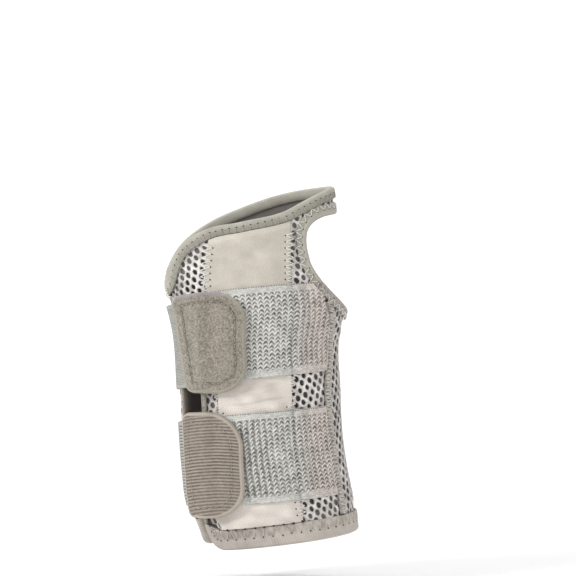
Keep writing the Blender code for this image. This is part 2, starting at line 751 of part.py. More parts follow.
def seams():
    hem_top = moved(HEM, HEM_TAPE + CLEARANCE)
    fingers = moved(wide_finger_path()[::-1], EDGE_TAPE + CLEARANCE)

    def thumb_ends(s):
        return crossing(hem_top, s), thumb_floor(s, EDGE_TAPE + CLEARANCE)

    def short_ends(s):
        return slit_top() + CLEARANCE, crossing(fingers, s)

    seam_strip("radial_seam", lambda z: run("thumb_seam", z), thumb_ends)
    seam_strip("ulnar_seam", lambda z: run("slit", z), short_ends)


def pocket():
    """The suede pocket of the splint, from the hem's tape to the tape at the fingers."""
    hem_top = moved(HEM, HEM_TAPE + CLEARANCE)
    fingers = moved(wide_finger_path()[::-1], EDGE_TAPE + CLEARANCE)
    ends = {}
    for edge in ("pocket_left", "pocket_right"):
        low = settle(lambda s: crossing(hem_top, s), lambda z: run(edge, z), level(-0.9))
        high = settle(lambda s: crossing(fingers, s), lambda z: run(edge, z), level(0.7))
        ends[edge] = spread(upright(lambda z: run(edge, z), low, high), EDGE_STEP)
    left, right = ends["pocket_left"], ends["pocket_right"]
    foot = between(hem_top, left[0, 0] + COLUMN / 2, right[0, 0] - COLUMN / 2)
    crown = between(fingers, left[-1, 0] + COLUMN / 2, right[-1, 0] - COLUMN / 2)
    loop = np.vstack([spread(foot, EDGE_STEP), right, spread(crown, EDGE_STEP), left[::-1]])
    patch("splint_pocket", loop, pocket_under, pocket_over, "suede")


def band_middle(closure, s):
    return UPPER_BAND_RISE - closure.step * BAND_PITCH + closure.tilt * s


def band(closure):
    """The loop band, from the slit's tape to the thumb-side seam or the thumb tape."""

    def right_end(z):
        beside = run("thumb_seam", z) - SEAM_WIDTH / 2 - CLEARANCE
        return np.minimum(beside, thumb_left(z, EDGE_TAPE + CLEARANCE))

    corners = {}
    for side in (-1, 1):
        def edge(s, side=side):
            return band_middle(closure, s) + side * BAND_WIDTH / 2
        for name, end in (("left", band_left), ("right", right_end)):
            corners[name, side] = settle(edge, end, float(edge(0)))
    right = upright(right_end, corners["right", -1], corners["right", 1])
    left = upright(band_left, corners["left", -1], corners["left", 1])
    right, left = spread(right, EDGE_STEP), spread(left, EDGE_STEP)
    foot = spread([left[0], right[0]], EDGE_STEP)[1:-1]
    crown = spread([right[-1], left[-1]], EDGE_STEP)[1:-1]
    loop = np.vstack([foot, right, crown, left[::-1]])
    patch(closure.name + "_band", loop, band_under, band_over, "band")


def strap_middle(closure, s):
    """The strap follows its band's tilt over the palm side and is level on the back."""
    drop = closure.drop * BAND_WIDTH
    return band_middle(closure, np.maximum(s, -0.25 * GIRTH)) - drop


def strap(closure):
    s = np.array([STRAP_START, STRAP_END]) * GIRTH
    along = np.linspace(s[0], s[1], round((s[1] - s[0]) / EDGE_STEP))
    middle = strap_middle(closure, along)
    foot = np.column_stack([along, middle - STRAP_WIDTH / 2])
    crown = np.column_stack([along, middle + STRAP_WIDTH / 2])[::-1]
    right = spread([foot[-1], crown[0]], ROW)[1:-1]
    left = spread([crown[-1], foot[0]], ROW)[1:-1]
    loop = np.vstack([foot, right, crown, left])
    patch(closure.name + "_strap", loop, strap_under, strap_over, "strap")


def tab(closure):
    corners, radii = [], []
    for corner in TAB_CORNERS:
        if corner.closure == closure.name:
            s = TAB_START * GIRTH + corner.along * TAB_LENGTH
            corners.append([s, strap_middle(closure, s) + corner.up * TAB_HEIGHT])
            radii.append(corner.radius * TAB_HEIGHT)
    loop = spread(rounded(np.array(corners), radii), 0.75 * EDGE_STEP, ONCE_ROUND_HOLE)
    look = "velour" if closure.name == "upper" else "ribbed"
    patch(closure.name + "_tab", loop, tab_under, tab_over, look)


def main():
    for thing in list(bpy.data.objects):
        bpy.data.objects.remove(thing)
    panels()
    seams()
    pocket()
    tape("distal_binding", FINGERS, EDGE_TAPE, "tape", ONCE_ROUND_HAND)
    tape("thumb_binding", THUMB, EDGE_TAPE, "tape", ONCE_ROUND_HOLE)
    tape("hem_binding", HEM, HEM_TAPE, "hem")
    tape("slit_binding_palm", slit_path(1), SLIT_TAPE, "tape")
    tape("slit_binding_back", slit_path(-1), SLIT_TAPE, "tape")
    for closure in CLOSURES:
        band(closure)
        strap(closure)
        tab(closure)


main()
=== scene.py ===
"""Looks of the wrist brace: every cloth, tape, seam and stitch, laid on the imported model.

Metres, in the frame of the CAD model: +Z points to the fingers and the palm faces -Y.
As in the model, pieces are laid out flat on the sleeve's outer skin. A place is (s, z), where
s is the way round at the wrist's girth from the middle of the palm side, and an offset goes
out of the skin. A turn is a share of the way round.
"""

import math
from collections import namedtuple

import bpy
import numpy as np
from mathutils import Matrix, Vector
from mathutils.geometry import delaunay_2d_cdt


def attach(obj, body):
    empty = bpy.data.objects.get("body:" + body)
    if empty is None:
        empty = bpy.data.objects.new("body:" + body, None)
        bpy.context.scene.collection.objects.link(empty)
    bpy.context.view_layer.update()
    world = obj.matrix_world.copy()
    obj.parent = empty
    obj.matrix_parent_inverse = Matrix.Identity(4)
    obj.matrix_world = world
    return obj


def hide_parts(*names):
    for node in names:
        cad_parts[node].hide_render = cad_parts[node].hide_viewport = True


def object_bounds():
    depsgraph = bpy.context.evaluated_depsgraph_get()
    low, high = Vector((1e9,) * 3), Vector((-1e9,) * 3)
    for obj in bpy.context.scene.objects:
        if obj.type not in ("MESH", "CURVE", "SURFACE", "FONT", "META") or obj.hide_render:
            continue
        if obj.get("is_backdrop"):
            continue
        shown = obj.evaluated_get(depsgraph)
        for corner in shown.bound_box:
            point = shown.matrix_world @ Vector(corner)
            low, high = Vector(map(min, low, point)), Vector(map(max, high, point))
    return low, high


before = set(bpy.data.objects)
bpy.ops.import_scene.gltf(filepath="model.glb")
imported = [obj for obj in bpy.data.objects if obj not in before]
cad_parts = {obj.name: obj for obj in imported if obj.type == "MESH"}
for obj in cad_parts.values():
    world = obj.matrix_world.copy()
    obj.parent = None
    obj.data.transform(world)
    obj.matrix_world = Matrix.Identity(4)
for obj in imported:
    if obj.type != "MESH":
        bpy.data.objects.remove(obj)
CAD_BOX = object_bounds()

MM = 0.001

# Sleeve
WRIST_WIDTH = 70 * MM
WRIST_DEPTH = 49 * MM
HAND_LENGTH = 66.5 * MM
SLEEVE_THICKNESS = 3 * MM
PRESSED_THICKNESS = 1.6 * MM
LINING_THICKNESS = 1.1 * MM
SWELL_START = 1.2 * MM
SWELL_LENGTH = 5 * MM
THUMB_HOLE_WIDTH = 46 * MM
THUMB_HOLE_BOTTOM = 13.5 * MM

# Bands, straps and tabs
BAND_WIDTH = 37.5 * MM
BAND_THICKNESS = 1.5 * MM
UPPER_BAND_RISE = 3.5 * MM
STRAP_WIDTH = 36 * MM
STRAP_THICKNESS = 1.3 * MM
STRAP_CLIMB = 12 * MM
TAB_HEIGHT = 42.5 * MM
TAB_LENGTH = 28 * MM
TAB_THICKNESS = 2.5 * MM
TAB_SPACING = 9.3 * MM
HEM_MARGIN = 10.65 * MM

# Splint pocket
POCKET_THICKNESS = 1.7 * MM
POCKET_EDGE = 0.8 * MM
POCKET_SHOULDER = 8 * MM

# Tapes and seams
EDGE_TAPE = 4.6 * MM
HEM_TAPE = 8.5 * MM
SLIT_TAPE = 3 * MM
TAPE_THICKNESS = 0.7 * MM
HEM_CORNER = 8.7 * MM
HEM_BACK_CORNER = 14 * MM
HEM_TILT = 0.12
HEM_CORNER_REACH = 1.6  # of the radius: how far a corner's two sides are read
TAPE_ROLL = 1.3 * MM
SEAM_WIDTH = 4.4 * MM
SEAM_PROUD = 0.5 * MM
SHORT_SEAM = 7.6 * MM
CLEARANCE = 0.35 * MM

# Worked out from the sizes above
BAND_PITCH = TAB_HEIGHT + TAB_SPACING
ARM_LENGTH = BAND_PITCH - UPPER_BAND_RISE + BAND_WIDTH / 2 + HEM_MARGIN + HEM_TAPE
PRESSED_INSET = TAPE_THICKNESS + CLEARANCE
TAPE_PROUD = PRESSED_THICKNESS / 2 + CLEARANCE + TAPE_THICKNESS - SLEEVE_THICKNESS / 2
MIDDLE = -SLEEVE_THICKNESS / 2  # offset of the middle of the sleeve's thickness

# The outer skin: heights as shares of ARM_LENGTH or HAND_LENGTH, then shares of WRIST_WIDTH
# and of WRIST_DEPTH, then the exponent of the section's superellipse
Section = namedtuple("Section", "height shift half_width lean half_depth square")
SECTIONS = [
    Section(-1.08, 0.136, 0.486, 0.00, 0.560, 2.2),
    Section(-0.96, 0.111, 0.483, 0.00, 0.560, 2.2),
    Section(-0.81, 0.065, 0.505, 0.00, 0.555, 2.2),
    Section(-0.64, 0.029, 0.498, 0.00, 0.550, 2.2),
    Section(-0.46, 0.003, 0.493, 0.00, 0.535, 2.2),
    Section(-0.23, -0.011, 0.494, 0.00, 0.515, 2.3),
    Section(0.00, -0.024, 0.499, 0.00, 0.500, 2.3),
    Section(0.21, -0.017, 0.540, 0.01, 0.480, 2.3),
    Section(0.39, -0.045, 0.565, 0.03, 0.445, 2.4),
    Section(0.61, -0.096, 0.579, 0.07, 0.400, 2.5),
    Section(1.05, -0.143, 0.579, 0.13, 0.350, 2.5),
]

# The edge at the fingers: its height as a share of HAND_LENGTH at each turn
FingerEdge = namedtuple("FingerEdge", "turn height")
FINGER_EDGE = [FingerEdge(*row) for row in (
    (-0.500, 0.872), (-0.420, 0.767), (-0.360, 0.647), (-0.300, 0.470), (-0.268, 0.385), (-0.235, 0.352),
    (-0.198, 0.398), (-0.178, 0.485), (-0.155, 0.573), (-0.122, 0.650), (-0.088, 0.705), (0.000, 0.764),
    (0.090, 0.827), (0.153, 0.917), (0.200, 0.971), (0.250, 1.000), (0.330, 0.995), (0.420, 0.950),
)]

# Lines that run up the sleeve, in turns
Run = namedtuple("Run", "height slit slit_gap pocket_left pocket_right thumb_seam")
RUNS = [
    Run(-1.08, -0.226, 0.042, -0.130, 0.058, 0.163),
    Run(-0.87, -0.204, 0.058, -0.123, 0.060, 0.164),
    Run(-0.70, -0.184, 0.062, -0.113, 0.063, 0.167),
    Run(-0.53, -0.169, 0.058, -0.101, 0.066, 0.170),
    Run(-0.36, -0.163, 0.055, -0.091, 0.068, 0.164),
    Run(-0.23, -0.165, 0.054, -0.092, 0.070, 0.163),
    Run(-0.06, -0.177, 0.034, -0.097, 0.072, 0.176),
    Run(0.12, -0.190, 0.006, -0.101, 0.073, 0.171),
    Run(0.24, -0.203, 0.003, -0.104, 0.074, 0.157),
    Run(0.35, -0.235, 0.003, -0.104, 0.075, 0.150),
    Run(0.63, -0.260, 0.003, -0.078, 0.096, 0.150),
    Run(0.80, -0.270, 0.003, -0.068, 0.107, 0.150),
]

# Each band's tilt, and how far its strap lies below it as a share of BAND_WIDTH
Closure = namedtuple("Closure", "name step tilt drop")
CLOSURES = [
    Closure("upper", 0, 0.093, 0.061),
    Closure("lower", 1, 0.080, 0.021),
]
STRAP_START = -0.576
STRAP_END = -0.122
TAB_START = -0.165

# Corners of the tabs: shares of TAB_LENGTH, TAB_HEIGHT and TAB_HEIGHT
Corner = namedtuple("Corner", "closure along up radius")
TAB_CORNERS = [
    Corner("upper", 0.10, -0.47, 0.10),
    Corner("upper", 1.00, -0.54, 0.30),
    Corner("upper", 0.96, 0.48, 0.30),
    Corner("upper", -0.09, 0.50, 0.10),
    Corner("lower", -0.04, -0.50, 0.06),
    Corner("lower", 0.80, -0.54, 0.33),
    Corner("lower", 0.91, 0.50, 0.33),
    Corner("lower", -0.03, 0.51, 0.10),
]

THUMB_HOLE_TURN = 0.25
WEB_TURN = 0.2
LOWER_SQUARE = 1.65
UPPER_SQUARE = 3.2

# Spacer mesh: two steps of its lattice, and its holes
NET_STEP = np.array([3.4, 1.3]) * MM
NET_RISE = np.array([1.0, 3.1]) * MM
HOLE_WIDTH = 1.85 * MM
HOLE_HEIGHT = 2.45 * MM
HOLE_TILT = 0.25
NET_MARGIN = 4 * MM
NET_REACH = 130
NET_DROPS = [0, 0.03, 0.16, 0.45]  # mm each ring of points lies below the net's top
# Colour of each ring from the net's top down into a hole: painted shade, darker down the wall to black on
# the floor
NET_SHADES = [1.0, 0.95, 0.85, 0.3, 0.0]

# Knitted and woven textures
CHEVRON = 2.35 * MM
CHEVRON_ROW = 1.67 * MM
SELVAGE = 2.6 * MM
TAB_RIB = 1.31 * MM
STRAP_RIB = 1.27 * MM
SEAM_LOOP = 1.15 * MM
TAPE_WEAVE = 0.9 * MM
HEM_BUMP = 1.1 * MM
TAPE_CROWN = [(0.8, 0.02), (0.62, -0.06), (0.52, -0.12), (0.45, 0.02), (0.36, 0.08)]
# The creases' depths also set how dark their painted shade is
CREASES = [(0.3, -2.7, 0.55), (0.12, 0.9, 0.7), (0.1, 3.2, 0.9)]  # depth, place and width in mm

# Stitching. A stitch has rows of share along it, lift and thickness as shares of its radius.
STITCH = [(0, -0.9, 0.7), (0.18, 0.7, 1), (0.5, 1, 1), (0.82, 0.7, 1), (1, -0.9, 0.7)]
BOLD_THREAD = 0.2 * MM
DOT_RIM = 0.02 * MM
DOT_TOP = 0.05 * MM
DOT_DEPTH = 0.3 * MM
EDGE_STITCH = 2.9 * MM
HEM_STITCH = 3.8 * MM
POCKET_STITCH = 2.65 * MM
POCKET_STITCH_IN = 2.3 * MM
POCKET_STITCH_OUT = 1.5 * MM
BAND_STITCH = 1 * MM
TAB_STITCH = 2.3 * MM
TAB_STITCH_LINE = 4.2 * MM
TAB_BORDER = 1.1 * MM
UNDERLAP = 2.9 * MM  # the hook layer that shows past the upper tab's top edge

# How finely things are worked out
LEVEL_STEP = 1 * MM
TURN_STEPS = 256
ARC_STEPS = 720
EDGE_STEP = 2 * MM
PATH_STEP = 0.8 * MM
LINING_STEP = 3 * MM
TAPE_STEP = 0.5 * MM
FIELD_STEP = 1 * MM
NOISE_CELLS = 256
CORNER_POINTS = 17
THREAD_SIDES = 6
DOT_SIDES = 8
TAB_RINGS = 56
POCKET_ROWS = 370
POCKET_COLUMNS = 100
SETTLE_ROUNDS = 12

# Studio
FLOOR_HEIGHT = -0.104
FLOOR_TONE = 0.93
BEND_START = 0.25  # where the floor begins to curve up behind, and the curve's radius
BEND = 1.6
WORLD_LIGHT = 0.55
CAMERA_AT = (0.0112, -0.9, 0.0224)
CAMERA_LENS = 130.8  # for 0.43 mm a pixel at the wrist's middle
CAMERA_SENSOR = 36
Lamp = namedtuple("Lamp", "name place size energy target")
LAMPS = [
    Lamp("key", (-1.2, -0.7, 0.6), 0.4, 12, (0, 0, 0)),
    Lamp("fill", (0.9, -1.0, 0.3), 1.0, 3, (0, 0, 0)),
    Lamp("top", (0.1, 0.3, 1.3), 1.0, 3, (0, 0, 0)),
    Lamp("backdrop", (0, 0.5, 1.4), 1.6, 13, (0, 2.0, 0.1)),
]

# Noise over the flat cloth in mm: its scale and detail
MOTTLING = (0.16, 4.0)
MOTTLING_RANGE = (0.93, 1.06)
FIBRES = (2.6, 3.0)
FIBRE_SWING = 0.3
FIBRE_HEIGHT = 0.15 * MM

# sRGB colours of each cloth where its weave lies low, where it lies high, and where it lies high
# in tinted parts, then its roughness and how strongly its fibres show. Where a cloth's shade follows
# its relief, its dark colour is painted shade in the weave's hollows.
Look = namedtuple("Look", "dark light tint rough fibre")
LOOKS = {
    "net": Look((88, 82, 79), (238, 234, 230), (210, 205, 201), 0.8, 0.3),
    # The lining shows at the bottom of the net's holes; its grey is partly its own colour and partly
    # painted shade.
    "lining": Look((96, 91, 88), (128, 122, 118), (128, 122, 118), 0.9, 0.3),
    "seam": Look((96, 90, 84), (212, 206, 198), (212, 206, 198), 0.85, 0.4),
    "suede": Look((172, 166, 155), (207, 200, 188), (236, 227, 219), 0.95, 0.5),
    "tape": Look((104, 102, 94), (178, 174, 163), (190, 182, 175), 0.8, 0.4),
    "hem": Look((100, 93, 86), (198, 190, 181), (176, 164, 151), 0.8, 0.4),
    # The back slit tape: a browner copy of the tape's colour with a much darker low end, painted as the
    # tape in shade
    "slit": Look((66, 61, 57), (196, 187, 176), (196, 187, 176), 0.85, 0.4),
    "band": Look((78, 76, 73), (229, 228, 222), (235, 224, 216), 0.75, 0.3),
    "strap": Look((92, 91, 86), (192, 190, 184), (192, 190, 184), 0.8, 0.3),
    "velour": Look((84, 79, 70), (162, 155, 142), (156, 148, 146), 0.95, 1.0),
    "ribbed": Look((76, 68, 61), (174, 163, 151), (186, 176, 164), 0.85, 0.4),
    "thread": Look((176, 172, 164), (228, 225, 218), (222, 218, 210), 0.7, 0.2),
    # Needle holes and notches: painted shade, the dark inside small holes
    "needle_hole_shade": Look((52, 49, 46), (60, 56, 53), (60, 56, 53), 0.95, 0.1),
}


def level(height):
    """The z of a height given as a share of ARM_LENGTH or HAND_LENGTH."""
    return height * (HAND_LENGTH if height > 0 else ARM_LENGTH)


def ease(t):
    """0 to 1, level at both ends."""
    t = np.clip(t, 0, 1)
    return t * t * (3 - 2 * t)


def ripple(x, period, turn=0):
    return np.cos(2 * math.pi * x / period + turn)


def bell(x, width):
    return np.exp(-(x / width) ** 2)


def to_and_fro(values):
    """1 and -1 by turns, starting with -1."""
    return np.where(np.arange(len(values)) % 2, 1, -1)


def pairs(s, z):
    """Rows of (s, z) from two arrays of one shape."""
    return np.stack([s, z], -1).reshape(-1, 2)


def closed(loop):
    return np.vstack([loop, loop[:1]])


def blend(grid, rows, columns, a, b):
    """Values a of the way between two rows and b of the way between two columns."""
    (i, k), (j, m) = rows, columns
    lower = grid[i, j] * (1 - a) + grid[k, j] * a
    upper = grid[i, m] * (1 - a) + grid[k, m] * a
    return lower * (1 - b) + upper * b


def smooth_through(xs, ys, x):
    """A smooth curve through the points (xs, ys), read at x."""
    xs, ys, x = np.asarray(xs, float), np.asarray(ys, float), np.asarray(x, float)
    slopes = np.gradient(ys, xs)
    i = np.clip(np.searchsorted(xs, x) - 1, 0, len(xs) - 2)
    width = xs[i + 1] - xs[i]
    t = np.clip((x - xs[i]) / width, 0, 1)
    return (
        (1 + 2 * t) * (1 - t) ** 2 * ys[i]
        + t * (1 - t) ** 2 * width * slopes[i]
        + t * t * (3 - 2 * t) * ys[i + 1]
        + t * t * (t - 1) * width * slopes[i + 1]
    )


class Skin:
    """The outer skin of the sleeve, read at a place and an offset."""

    def __init__(self):
        rows = np.array(SECTIONS)
        self.z0 = level(SECTIONS[0].height)
        levels = int((level(SECTIONS[-1].height) - self.z0) / LEVEL_STEP) + 1
        self.zs = self.z0 + LEVEL_STEP * np.arange(levels)
        heights = [level(s.height) for s in SECTIONS]
        shift, half_width, lean, half_depth, square = (
            smooth_through(heights, rows[:, k], self.zs) for k in range(1, 6)
        )
        angle = np.linspace(-0.5 * math.pi, 1.5 * math.pi, ARC_STEPS + 1)
        power = 2 / square[:, None]
        across = np.sign(np.cos(angle)) * np.abs(np.cos(angle)) ** power
        deep = np.sign(np.sin(angle)) * np.abs(np.sin(angle)) ** power
        x = WRIST_WIDTH * (shift[:, None] + half_width[:, None] * across)
        y = WRIST_DEPTH * (lean[:, None] + half_depth[:, None] * deep)
        arcs = np.hypot(np.diff(x), np.diff(y)).cumsum(1)
        turns = np.arange(TURN_STEPS) / TURN_STEPS
        self.points = np.empty((levels, TURN_STEPS, 3))
        for k in range(levels):
            share = np.concatenate([[0], arcs[k]]) / arcs[k, -1]
            self.points[k, :, 0] = np.interp(turns, share, x[k])
            self.points[k, :, 1] = np.interp(turns, share, y[k])
            self.points[k, :, 2] = self.zs[k]
        self.girth = np.interp(0, self.zs, arcs[:, -1])
        along = np.roll(self.points, -1, 1) - np.roll(self.points, 1, 1)
        normals = np.cross(along, np.gradient(self.points, axis=0))
        self.normals = normals / np.linalg.norm(normals, axis=2, keepdims=True)

    def read(self, grid, s, z):
        row = np.clip((z - self.z0) / LEVEL_STEP, 0, len(self.zs) - 1.001)
        column = (s / self.girth % 1) * TURN_STEPS
        i, j = row.astype(int), column.astype(int)
        columns = j % TURN_STEPS, (j + 1) % TURN_STEPS
        return blend(grid, (i, i + 1), columns, (row - i)[..., None], (column - j)[..., None])

    def normal(self, s, z):
        normal = self.read(self.normals, np.asarray(s, float), np.asarray(z, float))
        return normal / np.linalg.norm(normal, axis=-1, keepdims=True)

    def at(self, s, z, offset):
        """Points in space, for arrays of one shape."""
        s, z = np.asarray(s, float), np.asarray(z, float)
        point = self.read(self.points, s, z)
        return point + self.normal(s, z) * np.broadcast_to(offset, s.shape)[..., None]


SKIN = Skin()
GIRTH = SKIN.girth
ONCE_ROUND_HOLE = np.zeros(2)
ONCE_ROUND_HAND = np.array([-GIRTH, 0])


def run(name, z):
    """s of one of the lines in RUNS."""
    heights = [level(r.height) for r in RUNS]
    return GIRTH * smooth_through(heights, [getattr(r, name) for r in RUNS], z)


def slit_edge(side, z):
    """s of the slit's finished edge: side 1 on the palm panel, -1 on the back panel."""
    return run("slit", z) + side * run("slit_gap", z) / 2


def finger_edge(s):
    turns = [e.turn + k for k in (-1, 0, 1) for e in FINGER_EDGE]
    heights = [e.height for e in FINGER_EDGE] * 3
    return HAND_LENGTH * smooth_through(turns, heights, np.asarray(s) / GIRTH)


def hem_edge(s):
    s = np.asarray(s, float)
    x = SKIN.at(s, np.full(s.shape, -ARM_LENGTH), 0)[..., 0]
    return HEM_TILT * x - ARM_LENGTH


def slit_top():
    z = HAND_LENGTH * min(e.height for e in FINGER_EDGE)
    return z - EDGE_TAPE - SHORT_SEAM


# Paths on the skin: rows of (s, z), run with the cloth on their left


def spread(points, step, wrap=None):
    """The same path with evenly spaced points. A closed path meets its start after wrap."""
    points = np.asarray(points, float)
    if wrap is not None:
        points = np.vstack([points, points[:1] + wrap])
    lengths = np.concatenate([[0], np.hypot(*np.diff(points, axis=0).T).cumsum()])
    count = max(2, round(lengths[-1] / step)) + 1
    at = np.linspace(0, lengths[-1], count)
    even = np.column_stack([np.interp(at, lengths, points[:, k]) for k in (0, 1)])
    return even if wrap is None else even[:-1]


def inward(points, wrap=None):
    """Unit vectors that point from a path into its cloth."""
    if wrap is None:
        ahead = np.gradient(points, axis=0)
    else:
        after = np.vstack([points[1:], points[:1] + wrap])
        ahead = after - np.vstack([points[-1:] - wrap, points[:-1]])
    side = np.column_stack([-ahead[:, 1], ahead[:, 0]])
    return side / np.linalg.norm(side, axis=1, keepdims=True)


def moved(points, distance, wrap=None):
    return points + distance * inward(points, wrap)


def distance_to(places, path):
    """Least distance from each place to a path."""
    a, b = path[:-1], path[1:]
    ab = b - a
    least = []
    for block in np.array_split(places, max(1, len(places) * len(path) // 400000)):
        t = ((block[:, None] - a) * ab).sum(2) / (ab * ab).sum(1)
        near = a + np.clip(t, 0, 1)[..., None] * ab
        least.append(np.linalg.norm(block[:, None] - near, axis=2).min(1))
    return np.concatenate(least)


def rounded(corners, radii):
    """A polygon with each corner turned on its own radius. A radius of 0 keeps the corner."""
    points = []
    for k, corner in enumerate(corners):
        before, after = corners[k - 1] - corner, corners[(k + 1) % len(corners)] - corner
        before, after = before / np.linalg.norm(before), after / np.linalg.norm(after)
        if radii[k] == 0:
            points.append(corner)
            continue
        half = math.acos(np.clip(before @ after, -1, 1)) / 2
        middle = (before + after) / np.linalg.norm(before + after)
        centre = corner + middle * radii[k] / math.sin(half)
        start = corner + before * radii[k] / math.tan(half) - centre
        turn = math.pi - 2 * half
        for t in np.linspace(0, turn, CORNER_POINTS):
            c, s = math.cos(t), math.sin(t)
            points.append(centre + np.array([c * start[0] - s * start[1], s * start[0] + c * start[1]]))
    return np.array(points)


def hem_path():
    """From the slit's palm-side edge, round the arm, to the slit's back edge."""
    left, right = slit_edge(1, -ARM_LENGTH), slit_edge(-1, -ARM_LENGTH) + GIRTH
    s = np.append(np.arange(left, right, PATH_STEP), right)
    line = np.column_stack([s, hem_edge(s)])
    ends = []
    for side, corner, radius in ((1, line[0], HEM_CORNER), (-1, line[-1], HEM_BACK_CORNER)):
        reach = HEM_CORNER_REACH * radius
        z = corner[1] + reach
        up = np.array([slit_edge(side, z) + (0 if side == 1 else GIRTH), z])
        along = line[np.argmin(np.abs(line[:, 0] - corner[0] - side * reach))]
        order = [up, corner, along] if side == 1 else [along, corner, up]
        ends.append(rounded(np.array(order), [0, radius, 0])[1:-1])
    first, last = ends
    middle = line[(line[:, 0] > first[-1, 0]) & (line[:, 0] < last[0, 0])]
    return spread(np.vstack([first, middle, last]), PATH_STEP)


def thumb_path():
    """Once round the thumb hole, from the thumb web, towards the back first."""
    top = finger_edge(WEB_TURN * GIRTH) - 2 * EDGE_TAPE - 3 * CLEARANCE
    middle, half = (top + THUMB_HOLE_BOTTOM) / 2, (top - THUMB_HOLE_BOTTOM) / 2
    angle = np.linspace(0, 2 * math.pi, ARC_STEPS, endpoint=False) + math.pi / 2
    c, s = np.cos(angle), np.sin(angle)
    power = 2 / np.where(s > 0, UPPER_SQUARE, LOWER_SQUARE)
    across = np.sign(c) * np.abs(c) ** power * THUMB_HOLE_WIDTH / 2
    up = np.sign(s) * np.abs(s) ** power * half
    loop = np.column_stack([THUMB_HOLE_TURN * GIRTH + across, middle + up])
    return spread(loop[::-1], PATH_STEP, ONCE_ROUND_HOLE)


def finger_line(s):
    return np.column_stack([s, finger_edge(s)])


HEM = hem_path()
THUMB = thumb_path()
FINGERS = finger_line(THUMB_HOLE_TURN * GIRTH - np.arange(0, GIRTH, PATH_STEP))
WIDE_FINGERS = finger_line(np.arange(-GIRTH, GIRTH, PATH_STEP))  # twice round, towards the back
TAPED_EDGES = [
    (WIDE_FINGERS[::2], EDGE_TAPE),
    (closed(THUMB), EDGE_TAPE),
    (HEM, HEM_TAPE),
    (HEM - [GIRTH, 0], HEM_TAPE),
]


def slit_path(side):
    """Down the palm side of the slit to the hem's tape, or up its back side from there."""
    end, after = (HEM[0], HEM[1]) if side == 1 else (HEM[-1], HEM[-2])
    end = end + 3 * CLEARANCE * (end - after) / np.linalg.norm(end - after)
    wrap = 0 if side == 1 else GIRTH
    z = np.arange(end[1] + 2 * EDGE_STEP, slit_top() - SLIT_TAPE / 2, PATH_STEP)
    line = np.column_stack([slit_edge(side, z) + wrap, z])
    line = np.vstack([end, line])
    return line[::-1] if side == 1 else line


def thumb_left(z, room):
    """s of the line beside the thumb hole, room away on the palm side; far off below it."""
    loop = moved(THUMB, room, ONCE_ROUND_HOLE)
    half = loop[loop[:, 0] < THUMB_HOLE_TURN * GIRTH]
    half = half[np.argsort(half[:, 1])]
    return np.interp(z, half[:, 1], half[:, 0], left=GIRTH)


def thumb_floor(s, room):
    """z of the line below the thumb hole, room away."""
    loop = moved(THUMB, room, ONCE_ROUND_HOLE)
    half = loop[loop[:, 1] < np.mean(THUMB[:, 1])]
    half = half[np.argsort(half[:, 0])]
    return np.interp(s, half[:, 0], half[:, 1])


class Field:
    """A slow function of places, sampled once on an even grid and then read between."""

    def __init__(self, function, low, high):
        self.low = np.asarray(low, float)
        counts = np.ceil((np.asarray(high) - self.low) / FIELD_STEP).astype(int) + 2
        s = self.low[0] + FIELD_STEP * np.arange(counts[0])
        z = self.low[1] + FIELD_STEP * np.arange(counts[1])
        self.values = function(pairs(*np.meshgrid(s, z, indexing="ij"))).reshape(counts)

    def __call__(self, s, z):
        rows, columns = self.values.shape
        a = np.clip((s - self.low[0]) / FIELD_STEP, 0, rows - 1.001)
        b = np.clip((z - self.low[1]) / FIELD_STEP, 0, columns - 1.001)
        i, j = a.astype(int), b.astype(int)
        return blend(self.values, (i, i + 1), (j, j + 1), a - i, b - j)


def noise(x, y, seed, size, height=None):
    """Smooth noise from -1 to 1, with features of a size along x and of a height along y."""
    x, y = x / size, y / (height or size)
    grid = np.random.default_rng(seed).uniform(-1, 1, (NOISE_CELLS, NOISE_CELLS))
    i, j = np.floor(x).astype(int), np.floor(y).astype(int)
    a, b = ease(x - i), ease(y - j)
    rows, columns = ((k % NOISE_CELLS, (k + 1) % NOISE_CELLS) for k in (i, j))
    return blend(grid, rows, columns, a, b)


# Heights above the skin


def sampled_rise(places):
    away = np.min([distance_to(places, path) - width for path, width in TAPED_EDGES], axis=0)
    return TAPE_PROUD * (1 - ease((away - MM) / SWELL_LENGTH))


tape_rise = Field(sampled_rise, (-0.6 * GIRTH, SKIN.z0), (0.3 * GIRTH, HAND_LENGTH))


def inside_pocket(s, z):
    return np.minimum(s - run("pocket_left", z), run("pocket_right", z) - s)


def pocket_under(s, z):
    return tape_rise(s, z) + CLEARANCE


def pocket_over(s, z):
    crown = (POCKET_THICKNESS - POCKET_EDGE) * ease(inside_pocket(s, z) / POCKET_SHOULDER)
    return pocket_under(s, z) + POCKET_EDGE + crown


def band_under(s, z):
    """The band lies on the pocket and comes down to the sleeve on each side of it."""
    outside = ease((-inside_pocket(s, z) - 2.4 * MM) / SWELL_LENGTH)
    lift = (pocket_over(s, z) - tape_rise(s, z)) * (1 - outside)
    return tape_rise(s, z) + lift + CLEARANCE


def band_over(s, z):
    return band_under(s, z) + BAND_THICKNESS


def band_left(z):
    """s of a band's end beside the slit's tape, or beside the short seam above the slit."""
    return slit_edge(1, z) + max(SLIT_TAPE, SEAM_WIDTH / 2) + CLEARANCE


def band_right(z):
    beside = run("thumb_seam", z) - SEAM_WIDTH / 2 - CLEARANCE
    return np.minimum(beside, thumb_left(z, EDGE_TAPE + CLEARANCE))


def band_middle(closure, s):
    return UPPER_BAND_RISE - closure.step * BAND_PITCH + closure.tilt * s


def strap_middle(closure, s):
    """The strap follows its band's tilt over the palm side and is level on the back."""
    drop = closure.drop * BAND_WIDTH
    return band_middle(closure, np.maximum(s, -0.25 * GIRTH)) - drop


